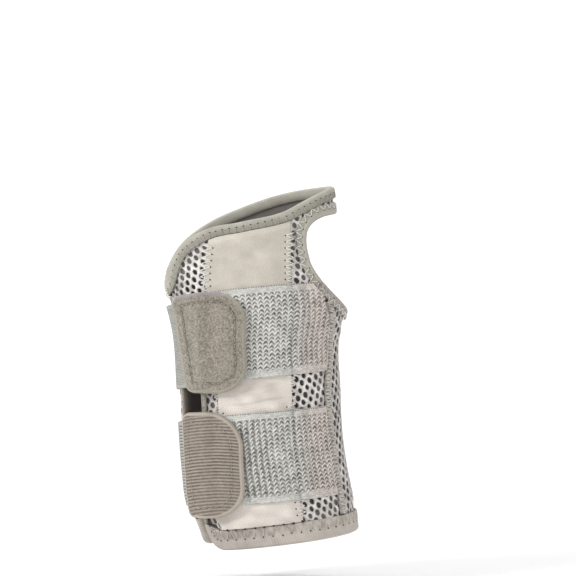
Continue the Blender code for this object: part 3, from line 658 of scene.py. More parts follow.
def strap_under(s, z):
    """The strap lies on the back, bridges the slit and climbs onto the band's end."""
    beyond = band_left(z) - s
    climb = 1 - ease((beyond - 1.5 * MM) / STRAP_CLIMB)
    behind = slit_edge(-1, z) - s - SLIT_TAPE
    low = TAPE_PROUD * (1 - ease((behind - MM) / SWELL_LENGTH))
    low = np.maximum(low, tape_rise(s, z)) + CLEARANCE
    high = band_over(np.maximum(s, band_left(z)), z) + CLEARANCE
    return low + (high - low) * climb


def tab_under(s, z):
    """The tab covers the strap's end and comes down to the band past it."""
    past = ease((s - STRAP_END * GIRTH - MM) / SWELL_LENGTH)
    return strap_under(s, z) + (STRAP_THICKNESS + CLEARANCE) * (1 - past)


# Materials


def linear(colour):
    """A linear colour for the shader from an sRGB one in 0 to 255."""
    parts = [c / 255 for c in colour]
    parts = [c / 12.92 if c <= 0.04045 else ((c + 0.055) / 1.055) ** 2.4 for c in parts]
    return (*parts, 1)


class Nodes:
    """Adds nodes to a material and links them."""

    def __init__(self, name):
        self.material = bpy.data.materials.new(name)
        self.material.use_nodes = True
        self.tree = self.material.node_tree
        self.shader = self.tree.nodes["Principled BSDF"]

    def add(self, kind, settings=(), values=(), links=()):
        node = self.tree.nodes.new(kind)
        for key, value in settings:
            setattr(node, key, value)
        for key, value in values:
            node.inputs[key].default_value = value
        for key, source in links:
            self.tree.links.new(source, node.inputs[key])
        return node

    def mix(self, share, first, second, blend="MIX"):
        """A colour mix. share, first and second are sockets or constants."""
        node = self.add("ShaderNodeMix", [("data_type", "RGBA"), ("blend_type", blend)])
        for socket, value in ((0, share), (6, first), (7, second)):
            if hasattr(value, "is_linked"):
                self.tree.links.new(value, node.inputs[socket])
            else:
                node.inputs[socket].default_value = value
        return node.outputs[2]


def cloth_material(name):
    """Cloth coloured by its shade attribute, which often follows how high its weave lies and so paints
    shade in its hollows, with mottling and fibres.
    """
    look = LOOKS[name]
    made = Nodes(name)
    flat = made.add("ShaderNodeUVMap", [("uv_map", "flat")]).outputs[0]
    shade, tint = (made.add("ShaderNodeAttribute", [("attribute_name", key)]).outputs["Fac"]
                   for key in ("shade", "tint"))
    light = made.mix(tint, linear(look.light), linear(look.tint))
    colour = made.mix(shade, linear(look.dark), light)
    broad, fine = (made.add("ShaderNodeTexNoise", values=[("Scale", scale), ("Detail", detail)],
                            links=[("Vector", flat)]) for scale, detail in (MOTTLING, FIBRES))
    swing = FIBRE_SWING * look.fibre
    for spots, low, high in ((broad, *MOTTLING_RANGE), (fine, 1 - swing, 1 + swing)):
        ramp = made.add("ShaderNodeMapRange", values=[(1, 0.3), (2, 0.7), (3, low), (4, high)],
                        links=[(0, spots.outputs[0])])
        colour = made.mix(1.0, colour, ramp.outputs[0], "MULTIPLY")
    bump = made.add("ShaderNodeBump", values=[("Strength", look.fibre), ("Distance", FIBRE_HEIGHT)],
                    links=[("Height", fine.outputs[0])])
    made.tree.links.new(colour, made.shader.inputs["Base Color"])
    made.tree.links.new(bump.outputs[0], made.shader.inputs["Normal"])
    made.shader.inputs["Roughness"].default_value = look.rough
    made.shader.inputs["Specular IOR Level"].default_value = 0.25
    if name in ("suede", "velour"):
        made.shader.inputs["Sheen Weight"].default_value = 0.25
        made.shader.inputs["Sheen Roughness"].default_value = 0.6
    return made.material


MATERIALS = {name: cloth_material(name) for name in LOOKS}


# Meshes


def link(name, data):
    """A new object in the scene."""
    made = bpy.data.objects.new(name, data)
    bpy.context.scene.collection.objects.link(made)
    return made


def piece(node, part, slot, look, points, faces, places, shade=1.0, tint=0.0):
    """One object that stands for a CAD node. places is where each point lies on the flat cloth."""
    name = node + "_" + part
    mesh = bpy.data.meshes.new(name)
    mesh.from_pydata(points.tolist(), [], [f for block in faces for f in block.tolist()])
    corners = np.empty(len(mesh.loops), int)
    mesh.loops.foreach_get("vertex_index", corners)
    layer = mesh.uv_layers.new(name="flat")
    layer.data.foreach_set("uv", (places[corners] / MM).ravel())
    for key, value in (("shade", shade), ("tint", tint)):
        values = np.broadcast_to(np.clip(value, 0, 1), len(points)).astype(np.float32)
        mesh.attributes.new(key, "FLOAT", "POINT").data.foreach_set("value", values)
    mesh.polygons.foreach_set("use_smooth", np.ones(len(mesh.polygons), bool))
    mesh.materials.append(MATERIALS[look])
    mesh.update()
    made = link(name, mesh)
    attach(made, "root")
    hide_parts(node)
    return made


def ring_faces(index):
    """Quads between closed rings of points: the last axis of index runs round a ring."""
    after = np.roll(index, -1, -1)
    sides = index[..., :-1, :], after[..., :-1, :], after[..., 1:, :], index[..., 1:, :]
    return np.stack(sides, -1).reshape(-1, 4)


def disc(loop, rings):
    """Places from a loop to its middle, with their quads, middle triangles and outer loop."""
    centre, count = loop.mean(0), len(loop)
    shares = 1 - np.arange(rings) / rings
    places = centre + (loop - centre) * shares[:, None, None]
    index = np.arange(rings * count).reshape(rings, count)
    fan = np.stack([index[-1], np.roll(index[-1], -1), np.full(count, rings * count)], -1)
    return np.vstack([places.reshape(-1, 2), centre]), [ring_faces(index), fan], index[0]


def slab(node, part, slot, look, places, faces, rim, under, over, shade=1.0, tint=0.0):
    """Cloth between the offsets under and over, which hold one value a place."""
    s, z = places.T
    count = len(places)
    points = np.vstack([SKIN.at(s, z, over), SKIN.at(s, z, under)])
    after = np.roll(rim, -1)
    side = np.stack([rim, rim + count, after + count, after], -1)
    body = list(faces) + [f[:, ::-1] + count for f in faces] + [side]
    shade, tint = (np.tile(np.broadcast_to(v, count), 2) for v in (shade, tint))
    return piece(node, part, slot, look, points, body, np.tile(places, (2, 1)), shade, tint)


def grid_slab(node, part, look, s, z, under, over, shade, tint=0.0):
    """A slab over rows and columns of places."""
    index = np.arange(s.size).reshape(s.shape)
    quads = np.stack([index[:-1, :-1], index[:-1, 1:], index[1:, 1:], index[1:, :-1]], -1)
    rim = np.concatenate([index[0, :-1], index[:-1, -1], index[-1, :0:-1], index[:0:-1, 0]])
    values = (np.broadcast_to(v, s.shape).ravel() for v in (under, over, shade, tint))
    return slab(node, part, look, look, pairs(s, z), [quads.reshape(-1, 4)], rim, *values)


def round_edge(distance, radius):
    """How much of a cloth's thickness is left near its rounded edge, from 0.25 to 1."""
    t = np.clip(distance / radius, 0, 1)
    return 0.25 + 0.75 * np.sqrt(t * (2 - t))


def threads(node, part, slot, look, starts, ends, base, radius):
    """Stitches from starts to ends. base gives the offset of the cloth under a place."""
    share, lift, thick = np.array(STITCH).T
    places = starts[:, None] + (ends - starts)[:, None] * share[:, None]
    s, z = places[..., 0], places[..., 1]
    centres = SKIN.at(s, z, base(s, z) + lift * radius)
    normals = SKIN.normal(s, z)
    across = np.cross(np.gradient(centres, axis=1), normals)
    across /= np.linalg.norm(across, axis=-1, keepdims=True)
    angle = np.linspace(0, 2 * math.pi, THREAD_SIDES, endpoint=False)[:, None]
    ring = across[:, :, None] * np.cos(angle) + normals[:, :, None] * np.sin(angle)
    points = centres[:, :, None] + ring * (thick * radius)[:, None, None]
    index = np.arange(points.size // 3).reshape(points.shape[:3])
    faces = [ring_faces(index), index[:, 0, ::-1], index[:, -1]]
    flat = np.repeat(places.reshape(-1, 2), THREAD_SIDES, axis=0)
    return piece(node, part, slot, look, points.reshape(-1, 3), faces, flat)


def dots(node, part, slot, places, base, radius):
    """Needle holes: small hollows with a low rim, painted dark as the shade inside them."""
    angle = np.linspace(0, 2 * math.pi, DOT_SIDES, endpoint=False)
    ring = places[:, None] + radius * np.stack([np.cos(angle), np.sin(angle)], -1)
    around = ring[..., 0], ring[..., 1]
    rim = SKIN.at(*around, base(*around) + DOT_RIM)
    height = base(*places.T)
    top, low = (SKIN.at(*places.T, height + rise)[:, None] for rise in (DOT_TOP, -DOT_DEPTH))
    points = np.concatenate([rim, top, low], 1).reshape(-1, 3)
    index = np.arange(len(points)).reshape(len(places), -1)
    first = index[:, :DOT_SIDES]
    second = np.roll(first, -1, 1)
    faces = [np.stack([a, b, np.broadcast_to(index[:, k, None], first.shape)], -1).reshape(-1, 3)
             for a, b, k in ((first, second, DOT_SIDES), (second, first, DOT_SIDES + 1))]
    flat = np.concatenate([ring, places[:, None], places[:, None]], 1).reshape(-1, 2)
    return piece(node, part, slot, "needle_hole_shade", points, faces, flat)


# The sleeve


def is_inside(places, loop):
    a, b = loop, np.roll(loop, -1, 0)
    x, y = places[:, :1], places[:, 1:]
    crosses = (a[:, 1] > y) != (b[:, 1] > y)
    rise = np.where(b[:, 1] == a[:, 1], 1, b[:, 1] - a[:, 1])
    at = a[:, 0] + (y - a[:, 1]) * (b[:, 0] - a[:, 0]) / rise
    return (crosses & (x < at)).sum(1) % 2 == 1


def area_of(loop):
    return 0.5 * abs(np.sum(loop[:, 0] * np.roll(loop[:, 1], -1) - loop[:, 1] * np.roll(loop[:, 0], -1)))


def upright(s_of_z, low, high):
    z = np.linspace(low, high, max(2, round((high - low) / PATH_STEP)))
    return np.column_stack([s_of_z(z), z])


def crossing(path, s):
    """z where a path passes s."""
    order = np.argsort(path[:, 0])
    return np.interp(s, path[order, 0], path[order, 1])


def settle(z_of_s, s_of_z, z):
    """The height where a line up the sleeve meets a line round it, near height z."""
    for _ in range(SETTLE_ROUNDS):
        z = z_of_s(s_of_z(z))
    return z


def between(path, first, last):
    return path[(path[:, 0] > min(first, last)) & (path[:, 0] < max(first, last))]


def below_fingers(distance):
    """The line at a distance inside the edge at the fingers."""
    return moved(WIDE_FINGERS[::-1], distance)


def panel_edges(side):
    """The stretches (path, cover) round a panel: side 1 for the palm, -1 for the back."""
    gap = side * CLEARANCE / 2
    web, middle_z = THUMB_HOLE_TURN * GIRTH, np.mean(THUMB[:, 1])
    hem, fingers = moved(HEM, PRESSED_INSET), below_fingers(PRESSED_INSET)
    hole = moved(THUMB, PRESSED_INSET, ONCE_ROUND_HOLE)

    def thumb_seam(z):
        return run("thumb_seam", z) - gap

    def short_seam(z):
        return run("slit", z) + gap

    seam_top = settle(lambda s: thumb_floor(s, PRESSED_INSET), thumb_seam, THUMB_HOLE_BOTTOM)
    seam_low = settle(lambda s: crossing(hem, s), thumb_seam, -ARM_LENGTH)
    short_top = settle(lambda s: crossing(fingers, s), short_seam, level(0.3))
    low, high = thumb_seam(seam_low), thumb_seam(seam_top)
    web_line = np.array([[web - gap, crossing(hole[hole[:, 1] > level(0.5)], web)],
                         [web - gap, crossing(fingers, web)]])
    seam = upright(thumb_seam, seam_low, seam_top)
    short = upright(short_seam, slit_top(), short_top)
    end = moved(slit_path(side), PRESSED_INSET)
    over_hem, over_slit, over_edge = (w - PRESSED_INSET for w in (HEM_TAPE, SLIT_TAPE, EDGE_TAPE))
    over_seam = SEAM_WIDTH / 2
    if side == 1:
        ring = hole[hole[:, 0] < web - gap]
        ring = ring[(ring[:, 1] > middle_z) | (ring[:, 0] < high)]
        ring = ring[np.argsort(ring[:, 1])]
        foot = between(hem, hem[0, 0] - 1, low)
        crown = between(fingers, web - gap, short_seam(short_top))
        return [(foot, over_hem), (seam, over_seam), (ring, over_edge), (web_line, over_seam),
                (crown, over_edge), (short[::-1], over_seam), (end, over_slit)]
    ring = hole[(hole[:, 0] > web - gap) | ((hole[:, 0] > high) & (hole[:, 1] < middle_z))]
    angle = np.arctan2(ring[:, 1] - middle_z, ring[:, 0] - web)
    ring = ring[np.argsort(angle)][::-1]
    foot = between(hem, low, GIRTH * 2)
    crown = np.vstack([between(fingers + [GIRTH, 0], GIRTH * 0.5, short_seam(short_top) + GIRTH),
                       between(fingers, web - gap, GIRTH * 0.5)])
    crown = crown[np.argsort(-crown[:, 0])]
    return [(foot, over_hem), (end, over_slit), (short + [GIRTH, 0], over_seam), (crown, over_edge),
            (web_line[::-1], over_seam), (ring, over_edge), (seam[::-1], over_seam)]


def hidden_under_cloth(s, z):
    """How deep a place lies under the pocket, a band or a strap."""
    deep = inside_pocket(s, z)
    round_back = np.where(s > 0.4 * GIRTH, s - GIRTH, s)
    for closure in CLOSURES:
        band = BAND_WIDTH / 2 - np.abs(z - band_middle(closure, s))
        band = np.minimum(band, np.minimum(s - band_left(z), band_right(z) - s))
        strap = STRAP_WIDTH / 2 - np.abs(z - strap_middle(closure, round_back))
        ends = np.minimum(round_back - STRAP_START * GIRTH, STRAP_END * GIRTH - round_back)
        over_cloth = np.abs(round_back - run("slit", z)) - run("slit_gap", z) / 2 - SLIT_TAPE
        strap = np.minimum(strap, np.minimum(ends, over_cloth))
        deep = np.maximum(deep, np.maximum(band, strap))
    return deep


def half_thickness(swell, places):
    share = ease((swell(*places.T) - SWELL_START) / SWELL_LENGTH)
    return (PRESSED_THICKNESS + (SLEEVE_THICKNESS - PRESSED_THICKNESS) * share) / 2


def lining(node, loop, swell):
    """The closed inner face of a panel."""
    low, high = loop.min(0), loop.max(0)
    s, z = (np.arange(low[k], high[k], LINING_STEP) for k in (0, 1))
    inner = pairs(*np.meshgrid(s, z, indexing="ij"))
    inner = inner[is_inside(inner, loop)]
    inner = inner[distance_to(inner, closed(loop)) > 0.4 * LINING_STEP]
    places = np.vstack([loop, inner]) / MM
    count = len(loop)
    edges = [(k, (k + 1) % count) for k in range(count)]
    flat, _, faces, *_ = delaunay_2d_cdt([Vector(p) for p in places], edges, [], 1, 1e-4)
    places = np.array([tuple(p) for p in flat]) * MM
    faces = np.array([list(f) for f in faces])
    bottom = MIDDLE - half_thickness(swell, places)
    return slab(node, "lining", "mesh", "lining", places, [faces], np.arange(count),
                bottom, bottom + LINING_THICKNESS, 0.5)


def net_cell():
    """The outlines of a lattice cell and of the oval hole in it, at the same angles."""
    steps = [NET_STEP, NET_RISE, NET_RISE - NET_STEP]
    steps = sorted(steps + [-step for step in steps], key=lambda v: math.atan2(v[1], v[0]))
    corners = np.array([(a + b) / 3 for a, b in zip(steps, steps[1:] + steps[:1])])
    cell = np.stack([corners, (corners + np.roll(corners, -1, 0)) / 2], 1).reshape(-1, 2)
    angle = np.arctan2(cell[:, 1], cell[:, 0])
    turned = angle - HOLE_TILT
    reach = 1 / np.hypot(np.cos(turned) / (HOLE_WIDTH / 2), np.sin(turned) / (HOLE_HEIGHT / 2))
    return cell, np.stack([np.cos(angle), np.sin(angle)], -1) * reach[:, None]


def net(node, loop, swell, clamp):
    """The knitted outer face of a panel: a lattice of oval holes with rounded rims, painted with shade down
    into the holes.
    """
    low, high = loop.min(0) - NET_MARGIN, loop.max(0) + NET_MARGIN
    steps = np.arange(-NET_REACH, NET_REACH + 1)
    i, j = (a.ravel() for a in np.meshgrid(steps, steps, indexing="ij"))
    centres = i[:, None] * NET_STEP + j[:, None] * NET_RISE
    centres = centres[((centres > low) & (centres < high)).all(1)]
    keep = swell(*centres.T) > -1.7 * MM
    keep &= is_inside(centres, loop) | (distance_to(centres, closed(loop)) < 1.2 * MM)
    keep &= hidden_under_cloth(*centres.T) < 2.6 * MM
    centres = centres[keep]
    cell, hole = net_cell()
    random = np.random.default_rng(5)
    size = random.uniform(0.86, 1.08, (len(centres), 1, 1))
    shift = random.normal(0, 0.08 * MM, (len(centres), 1, 2))
    holes = hole * size + shift
    rings = [np.broadcast_to(cell, holes.shape), cell + (holes * 1.15 - cell) * 0.6,
             holes * 1.12, holes, holes * 0.9]
    places = centres[:, None, None] + np.stack(rings, 1)
    places[..., 0] = clamp(places[..., 0], places[..., 1])
    shape = places.shape[:3]
    flat = places.reshape(-1, 2)
    half = half_thickness(swell, flat).reshape(shape)
    over = MIDDLE + half[:, :-1] - np.array(NET_DROPS)[:, None] * MM
    floor = MIDDLE - half[:, -1:] + LINING_THICKNESS - 0.1 * MM
    offset = np.concatenate([np.maximum(over, floor), floor], 1).ravel()
    points = SKIN.at(*flat.T, offset)
    index = np.arange(len(flat)).reshape(shape)
    rim = index[:, 0].ravel()
    keys = np.round(flat[rim] / (0.02 * MM) + 0.13).astype(int)
    _, first, same = np.unique(keys, axis=0, return_index=True, return_inverse=True)
    joined = np.arange(len(flat))
    joined[rim] = rim[first[same.ravel()]]
    used, quads = np.unique(joined[ring_faces(index)], return_inverse=True)
    # Painted shade: each ring's colour darkens down into its hole
    shade = np.tile(np.repeat(NET_SHADES, shape[2]), shape[0])
    shade += 0.32 * noise(*flat.T, 8, 0.8 * MM)
    # Painted shade: the net darkens more than 26 mm from the palm's middle, where it turns away at the
    # sides
    shade -= 0.3 * ease((np.abs(flat[:, 0]) - 26 * MM) / (6 * MM))
    mottled = 0.5 + noise(*flat.T, 9, 2.2 * MM)
    return piece(node, "net", "mesh", "net", points[used], [quads.reshape(-1, 4)], flat[used],
                 shade[used], mottled[used])


def sleeve():
    """The two panels of spacer mesh, each a lining with a net on it."""
    web, top, middle_z = THUMB_HOLE_TURN * GIRTH, slit_top(), np.mean(THUMB[:, 1])
    for side, node in ((1, "palm_mesh"), (-1, "back_mesh")):
        edges = panel_edges(side)
        loop = np.vstack([spread(path, EDGE_STEP) for path, _ in edges])
        steps = np.linalg.norm(loop - np.roll(loop, 1, 0), axis=1)
        loop = loop[steps > 0.2 * EDGE_STEP]

        def bare(places, edges=edges):
            return np.min([distance_to(places, path) - cover for path, cover in edges], axis=0)

        def clamp(s, z, side=side):
            slit = np.where(z < top, slit_edge(side, z) + side * PRESSED_INSET,
                            run("slit", z) + side * CLEARANCE / 2)
            thumb = np.where(z < middle_z, run("thumb_seam", z), web) - side * CLEARANCE / 2
            return np.clip(s, slit, thumb) if side == 1 else np.clip(s, thumb, slit + GIRTH)

        swell = Field(bare, loop.min(0), loop.max(0))
        inner = lining(node, loop, swell)
        outer = net(node, loop, swell, clamp)
        area_of(loop)


def seam(node, s_of_z, low, high):
    """An overlocked seam: a bumpy ridge with threads that cross it."""
    rows, columns = round((high - low) / (0.3 * MM)), 13
    z = np.linspace(low, high, rows)[:, None] * np.ones(columns)
    across = np.linspace(-1, 1, columns) * np.ones((rows, 1))
    s = s_of_z(z) + across * SEAM_WIDTH / 2
    bottom = -(SLEEVE_THICKNESS - PRESSED_THICKNESS) / 2 + CLEARANCE
    loops = 0.5 + 0.5 * ripple(z, SEAM_LOOP, 2.5 * across)
    round_top = (1 - across ** 2) ** 0.6
    over = bottom + 0.12 * MM + (SEAM_PROUD - bottom) * round_top * (0.75 + 0.25 * loops)
    over += 0.12 * MM * noise(s, z, 3, 0.8 * MM)
    # Painted shade: darker at the ridge's foot and between its thread loops
    shade = 0.3 + 0.45 * loops * round_top + 0.4 * noise(s, z, 4, 0.7 * MM)
    grid_slab(node, "ridge", "seam", s, z, bottom, over, shade)

    def surface(s, z):
        x = np.clip((s - s_of_z(z)) / (SEAM_WIDTH / 2), -1, 1)
        return bottom + (SEAM_PROUD - bottom) * (1 - x ** 2) ** 0.6 + 0.1 * MM

    at = np.arange(low + MM, high - 2 * MM, 0.8 * MM)
    random = np.random.default_rng(6)
    at = at + random.normal(0, 0.12 * MM, len(at))
    reach = to_and_fro(at) * SEAM_WIDTH * random.uniform(0.3, 0.47, len(at))
    turns = pairs(s_of_z(at) + reach, at)
    threads(node, "threads", "seam", "seam", turns[:-1], turns[1:], surface, BOLD_THREAD)


def seams():
    """The long seam below the thumb and the short one above the slit."""
    hem_top, fingers = moved(HEM, HEM_TAPE + CLEARANCE), below_fingers(EDGE_TAPE + CLEARANCE)

    def thumb_seam(z):
        return run("thumb_seam", z)

    def short_seam(z):
        return run("slit", z)

    low = settle(lambda s: crossing(hem_top, s), thumb_seam, level(-0.9))
    high = settle(lambda s: thumb_floor(s, EDGE_TAPE + CLEARANCE), thumb_seam, level(0.2))
    seam("radial_seam", thumb_seam, low, high)
    high = settle(lambda s: crossing(fingers, s), short_seam, level(0.2))
    seam("ulnar_seam", short_seam, slit_top() + CLEARANCE, high)


# The pocket, bands, straps and tabs


def pocket():
    """Brushed suede with soft creases, darkened with painted shade, where it shows between the bands."""
    hem_top, fingers = moved(HEM, HEM_TAPE + 0.05 * MM), below_fingers(EDGE_TAPE + 0.05 * MM)
    across = np.linspace(0, 1, POCKET_COLUMNS)

    def line(z):
        return run("pocket_left", z) * (1 - across) + run("pocket_right", z) * across

    low = settle(lambda s: crossing(hem_top, s), line, np.full(POCKET_COLUMNS, level(-0.9)))
    high = settle(lambda s: crossing(fingers, s), line, np.full(POCKET_COLUMNS, level(0.7)))
    up = np.linspace(0, 1, POCKET_ROWS)[:, None]
    z = low * (1 - up) + high * up
    s = line(z)
    inside = inside_pocket(s, z)
    under = pocket_under(s, z)
    ends = np.minimum(z - low, high - z)
    edge = round_edge(np.minimum(inside, ends), 0.8 * MM)
    upper, lower = (band_middle(c, s) for c in CLOSURES)
    gap_middle, gap_half = (upper + lower) / 2, (upper - lower - BAND_WIDTH) / 2
    inner = np.clip(1 - np.abs(z - gap_middle) / gap_half, 0, 1)
    wave = gap_middle + 0.7 * MM * np.sin(s / (8 * MM)) + 0.2 * MM * np.sin(s / (2.9 * MM))
    middle = ease(inside / (9 * MM))
    crease = sum(depth * bell(z - wave - place * MM, width * MM) for depth, place, width in CREASES)
    relief = 0.35 * MM * ease(inner * 1.6) - crease * ease(inner * 3) * middle * MM
    relief += 0.06 * MM * noise(s, z, 11, 2.5 * MM) + 0.02 * MM * noise(s, z, 12, 0.5 * MM)
    dive = 1 - ease((ends - CLEARANCE) / (3 * MM))
    over = under + (pocket_over(s, z) - under) * edge + relief * edge
    # Painted shade in the creases between the bands, on mottled suede
    shade = 0.62 + 0.22 * noise(s, z, 13, 5 * MM, 3 * MM) - 0.8 * crease * ease(inner * 3) * middle
    node = "splint_pocket"
    made = grid_slab(node, "cloth", "suede", s, z, under - 0.95 * MM * dive, over - 1.05 * MM * dive,
                     shade, ease((upper - z) / (0.65 * BAND_WIDTH)))
    starts, stops, holes = [], [], []
    for side, edge_name in ((1, "pocket_left"), (-1, "pocket_right")):
        at = np.arange(level(-0.84), level(0.7), POCKET_STITCH)
        at = at[at < crossing(fingers, run(edge_name, at)) - 2 * MM]
        inside = pairs(run(edge_name, at) + side * POCKET_STITCH_IN, at)
        outside = pairs(run(edge_name, at) - side * POCKET_STITCH_OUT, at + POCKET_STITCH / 2)
        starts += [inside, outside[:-1]]
        stops += [outside, inside[1:]]
        holes.append(inside)
    stitched = [threads(node, "stitches", "suede", "thread", np.vstack(starts), np.vstack(stops),
                        pocket_over, BOLD_THREAD),
                dots(node, "needles", "suede", np.vstack(holes),
                     lambda s, z: pocket_over(s, z) + 0.1 * MM, 0.34 * MM)]


def chevrons(s, z, lean):
    """Height from 0 to 1 of a knit of stacked arrowheads: pale strands over gaps darkened as painted shade.

    lean is how much darker the right half of each arrowhead is: painted shade, as if lit from the left.
    """
    turn = s / CHEVRON % 1
    across = np.abs(2 * turn - 1)
    phase = z / CHEVRON_ROW + 0.8 * across ** 1.3
    gap = (0.5 - 0.5 * ripple(phase, 1)) ** 0.85
    shaded_right_half = ease(0.5 - 1.6 * np.sin(2 * math.pi * turn))
    return (1 - gap * (1 - 0.6 * ease((across - 0.55) / 0.45))) * (1 - lean * shaded_right_half)


def band(closure):
    """A loop band: chevrons between two smooth selvages, warmer in tone past the pocket."""
    foot = np.linspace(-0.5, 0.5, round(BAND_WIDTH / (0.27 * MM))) * BAND_WIDTH

    def edge(s):
        return band_middle(closure, s) + foot

    left = band_left(settle(edge, band_left, edge(0)))
    right = band_right(settle(edge, band_right, edge(0)))
    length = float(np.mean(right - left))
    left, right, foot = (v[:, None] for v in (left, right, foot))
    across = np.linspace(0, 1, round(length / (0.3 * MM)))
    s = left * (1 - across) + right * across
    z = band_middle(closure, s) + foot
    from_edge = (BAND_WIDTH / 2 - np.abs(foot)) * np.ones(len(across))
    ends = np.minimum(s - left, right - s)
    past_pocket = s - run("pocket_right", z)
    past, warm = (ease((past_pocket + 2 * MM) / width) for width in (8 * MM, 12 * MM))
    v = foot + 0 * s
    row = v + 0.14 * CHEVRON_ROW * noise(s, v, 21, 1.6 * MM)
    column = s + 0.1 * CHEVRON * noise(s, v, 24, 2 * MM, 1.5 * MM)
    # lean paints shade on the right half of each arrowhead, as if lit from the left
    if closure.name == "upper":
        lean, contrast = 0.1 + 0.35 * past, 1 - 0.12 * past
    else:
        left_part = 1 - ease((s + 0.02 * GIRTH) / (12 * MM))
        lean, contrast = 0.24 + 0.39 * left_part, 0.95 + 0.02 * past
    knit = 1 - contrast * (1 - chevrons(column, row, lean))
    rib = 0.5 + 0.5 * ripple(from_edge, 0.8 * MM)
    woven = 0.5 + 0.5 * ripple(s, 0.7 * MM)
    body = ease((from_edge - SELVAGE) / (0.5 * MM))
    under = band_under(s, z)
    thick = BAND_THICKNESS * (0.62 + 0.1 * body)
    relief = 0.3 * MM * knit * body + (0.1 * rib + 0.03 * woven) * MM * (1 - body)
    crease = bell(past_pocket, 0.5 * MM)
    edge_round = round_edge(np.minimum(from_edge, ends), 0.6 * MM)
    over = under + (thick + relief - 0.18 * MM * crease) * edge_round
    uneven = 0.08 * noise(s, v, 22, 3 * MM, 2 * MM) + 0.18 * noise(s, v, 23, 0.7 * MM, 0.5 * MM)
    # Painted shade: dark in the knit's gaps and between the selvage's ribs, and a darker line in the crease
    # past the pocket
    shade = (0.02 + 0.98 * knit) * body + (0.56 + 0.2 * rib) * (1 - body) + uneven - 0.25 * crease
    node = closure.name + "_band"
    made = grid_slab(node, "cloth", "band", s, z, under, over, shade, warm)

    def surface(s, z):
        return band_under(s, z) + 0.78 * BAND_THICKNESS

    at = np.arange(left[-1, 0] + MM, right[-1, 0] - MM, BAND_STITCH)
    crown = pairs(at, band_middle(closure, at) + BAND_WIDTH / 2 - 0.35 * MM)
    holes = dots(node, "needles", "band", crown, surface, 0.2 * MM)


def strap(closure):
    """Ribbed elastic that comes round from the back of the hand."""
    length = (STRAP_END - STRAP_START) * GIRTH
    rows, columns = round(STRAP_WIDTH / (0.22 * MM)), round(length / (0.8 * MM))
    up = np.linspace(-0.5, 0.5, rows)[:, None]
    s = STRAP_START * GIRTH + length * np.linspace(0, 1, columns) * np.ones((rows, 1))
    z = strap_middle(closure, s) + up * STRAP_WIDTH
    v = up * STRAP_WIDTH + 0 * s
    pitch, depth = (STRAP_RIB, 0.28 * MM) if closure.name == "lower" else (0.5 * STRAP_RIB, 0.12 * MM)
    rib = (0.5 + 0.5 * ripple(v, pitch)) ** 0.7
    edge = STRAP_WIDTH / 2 - np.abs(v)
    ends = np.minimum(s - s[:, :1], s[:, -1:] - s)
    body = ease((edge - 1.2 * MM) / (0.4 * MM))
    under = strap_under(s, z)
    thick = STRAP_THICKNESS - 0.3 * MM + depth * (rib * body + 0.6 * (1 - body))
    over = under + thick * round_edge(np.minimum(edge, ends), 0.5 * MM)
    # Painted shade: darker in the grooves between the ribs
    shade = 0.84 * rib * body + 0.6 * (1 - body) + 0.12 * noise(s, v, 31, 0.9 * MM, 0.5 * MM)
    made = grid_slab(closure.name + "_strap", "cloth", "strap", s, z, under, over, shade)


def tab_loop(closure):
    corners, radii = [], []
    for corner in TAB_CORNERS:
        if corner.closure == closure.name:
            s = TAB_START * GIRTH + corner.along * TAB_LENGTH
            corners.append([s, strap_middle(closure, s) + corner.up * TAB_HEIGHT])
            radii.append(corner.radius * TAB_HEIGHT)
    return rounded(np.array(corners), radii)


def tab(closure):
    """A fastening tab: brushed velour above, ribbed below, overlocked round its edge."""
    loop = spread(tab_loop(closure), 0.33 * MM, ONCE_ROUND_HOLE)
    places, faces, rim = disc(loop, TAB_RINGS)
    s, z = places.T
    inside = distance_to(places, closed(loop))
    under = tab_under(s, z)
    v = z - strap_middle(closure, s)
    border = 1 - ease((inside - TAB_BORDER) / (0.5 * MM))
    around = np.arctan2(z - z.mean(), s - s.mean())
    wrap = 0.5 + 0.5 * ripple(around * 20 * MM, TAPE_WEAVE)
    # The stitch line lies in a groove, darkened below as painted shade
    groove = bell(inside - TAB_STITCH_LINE, 0.45 * MM)
    if closure.name == "upper":
        nap = 0.4 * noise(s, z, 41, 0.55 * MM) + 0.9 * noise(s, z, 42, 0.36 * MM)
        strip = ease((v - 0.5 * TAB_HEIGHT + UNDERLAP) / (0.5 * MM))
        relief = 0.06 * MM * nap - 0.45 * MM * strip
        shade = 0.64 + 0.45 * nap - 0.5 * groove * (1 - strip) + 0.1 * strip
        look = "velour"
    else:
        strip = border
        bow = 1.6 * MM * ((s - s.mean()) / (0.5 * TAB_LENGTH)) ** 2
        rib = (0.5 + 0.5 * ripple(v + bow, TAB_RIB)) ** 0.75
        relief = 0.3 * MM * (rib - 0.5) * (1 - border)
        uneven = 0.1 * noise(s, z, 44, 0.8 * MM, 0.6 * MM)
        # Painted shade: darker in the grooves between the ribs and in the stitch groove
        shade = 0.12 + 0.72 * rib * (1 - border) + uneven - 0.12 * groove
        look = "ribbed"
    relief -= 0.16 * MM * groove
    shade = shade * (1 - border) + (0.8 + 0.2 * wrap) * border
    thick = TAB_THICKNESS - 0.35 * MM
    over = under + (thick + relief) * round_edge(inside, TAB_BORDER) + 0.08 * MM * wrap * border
    node = closure.name + "_tab"
    made = slab(node, "cloth", look, look, places, faces, rim, under, over, shade, strip)
    line = spread(moved(loop, TAB_STITCH_LINE, ONCE_ROUND_HOLE), TAB_STITCH, ONCE_ROUND_HOLE)
    after = np.roll(line, -1, 0)
    gap = (after - line) * 0.12

    def surface(s, z):
        return tab_under(s, z) + thick - 0.1 * MM

    stitches = threads(node, "stitches", look, look, line + gap, after - gap, surface, 0.15 * MM)
    area_of(loop)


# Tapes


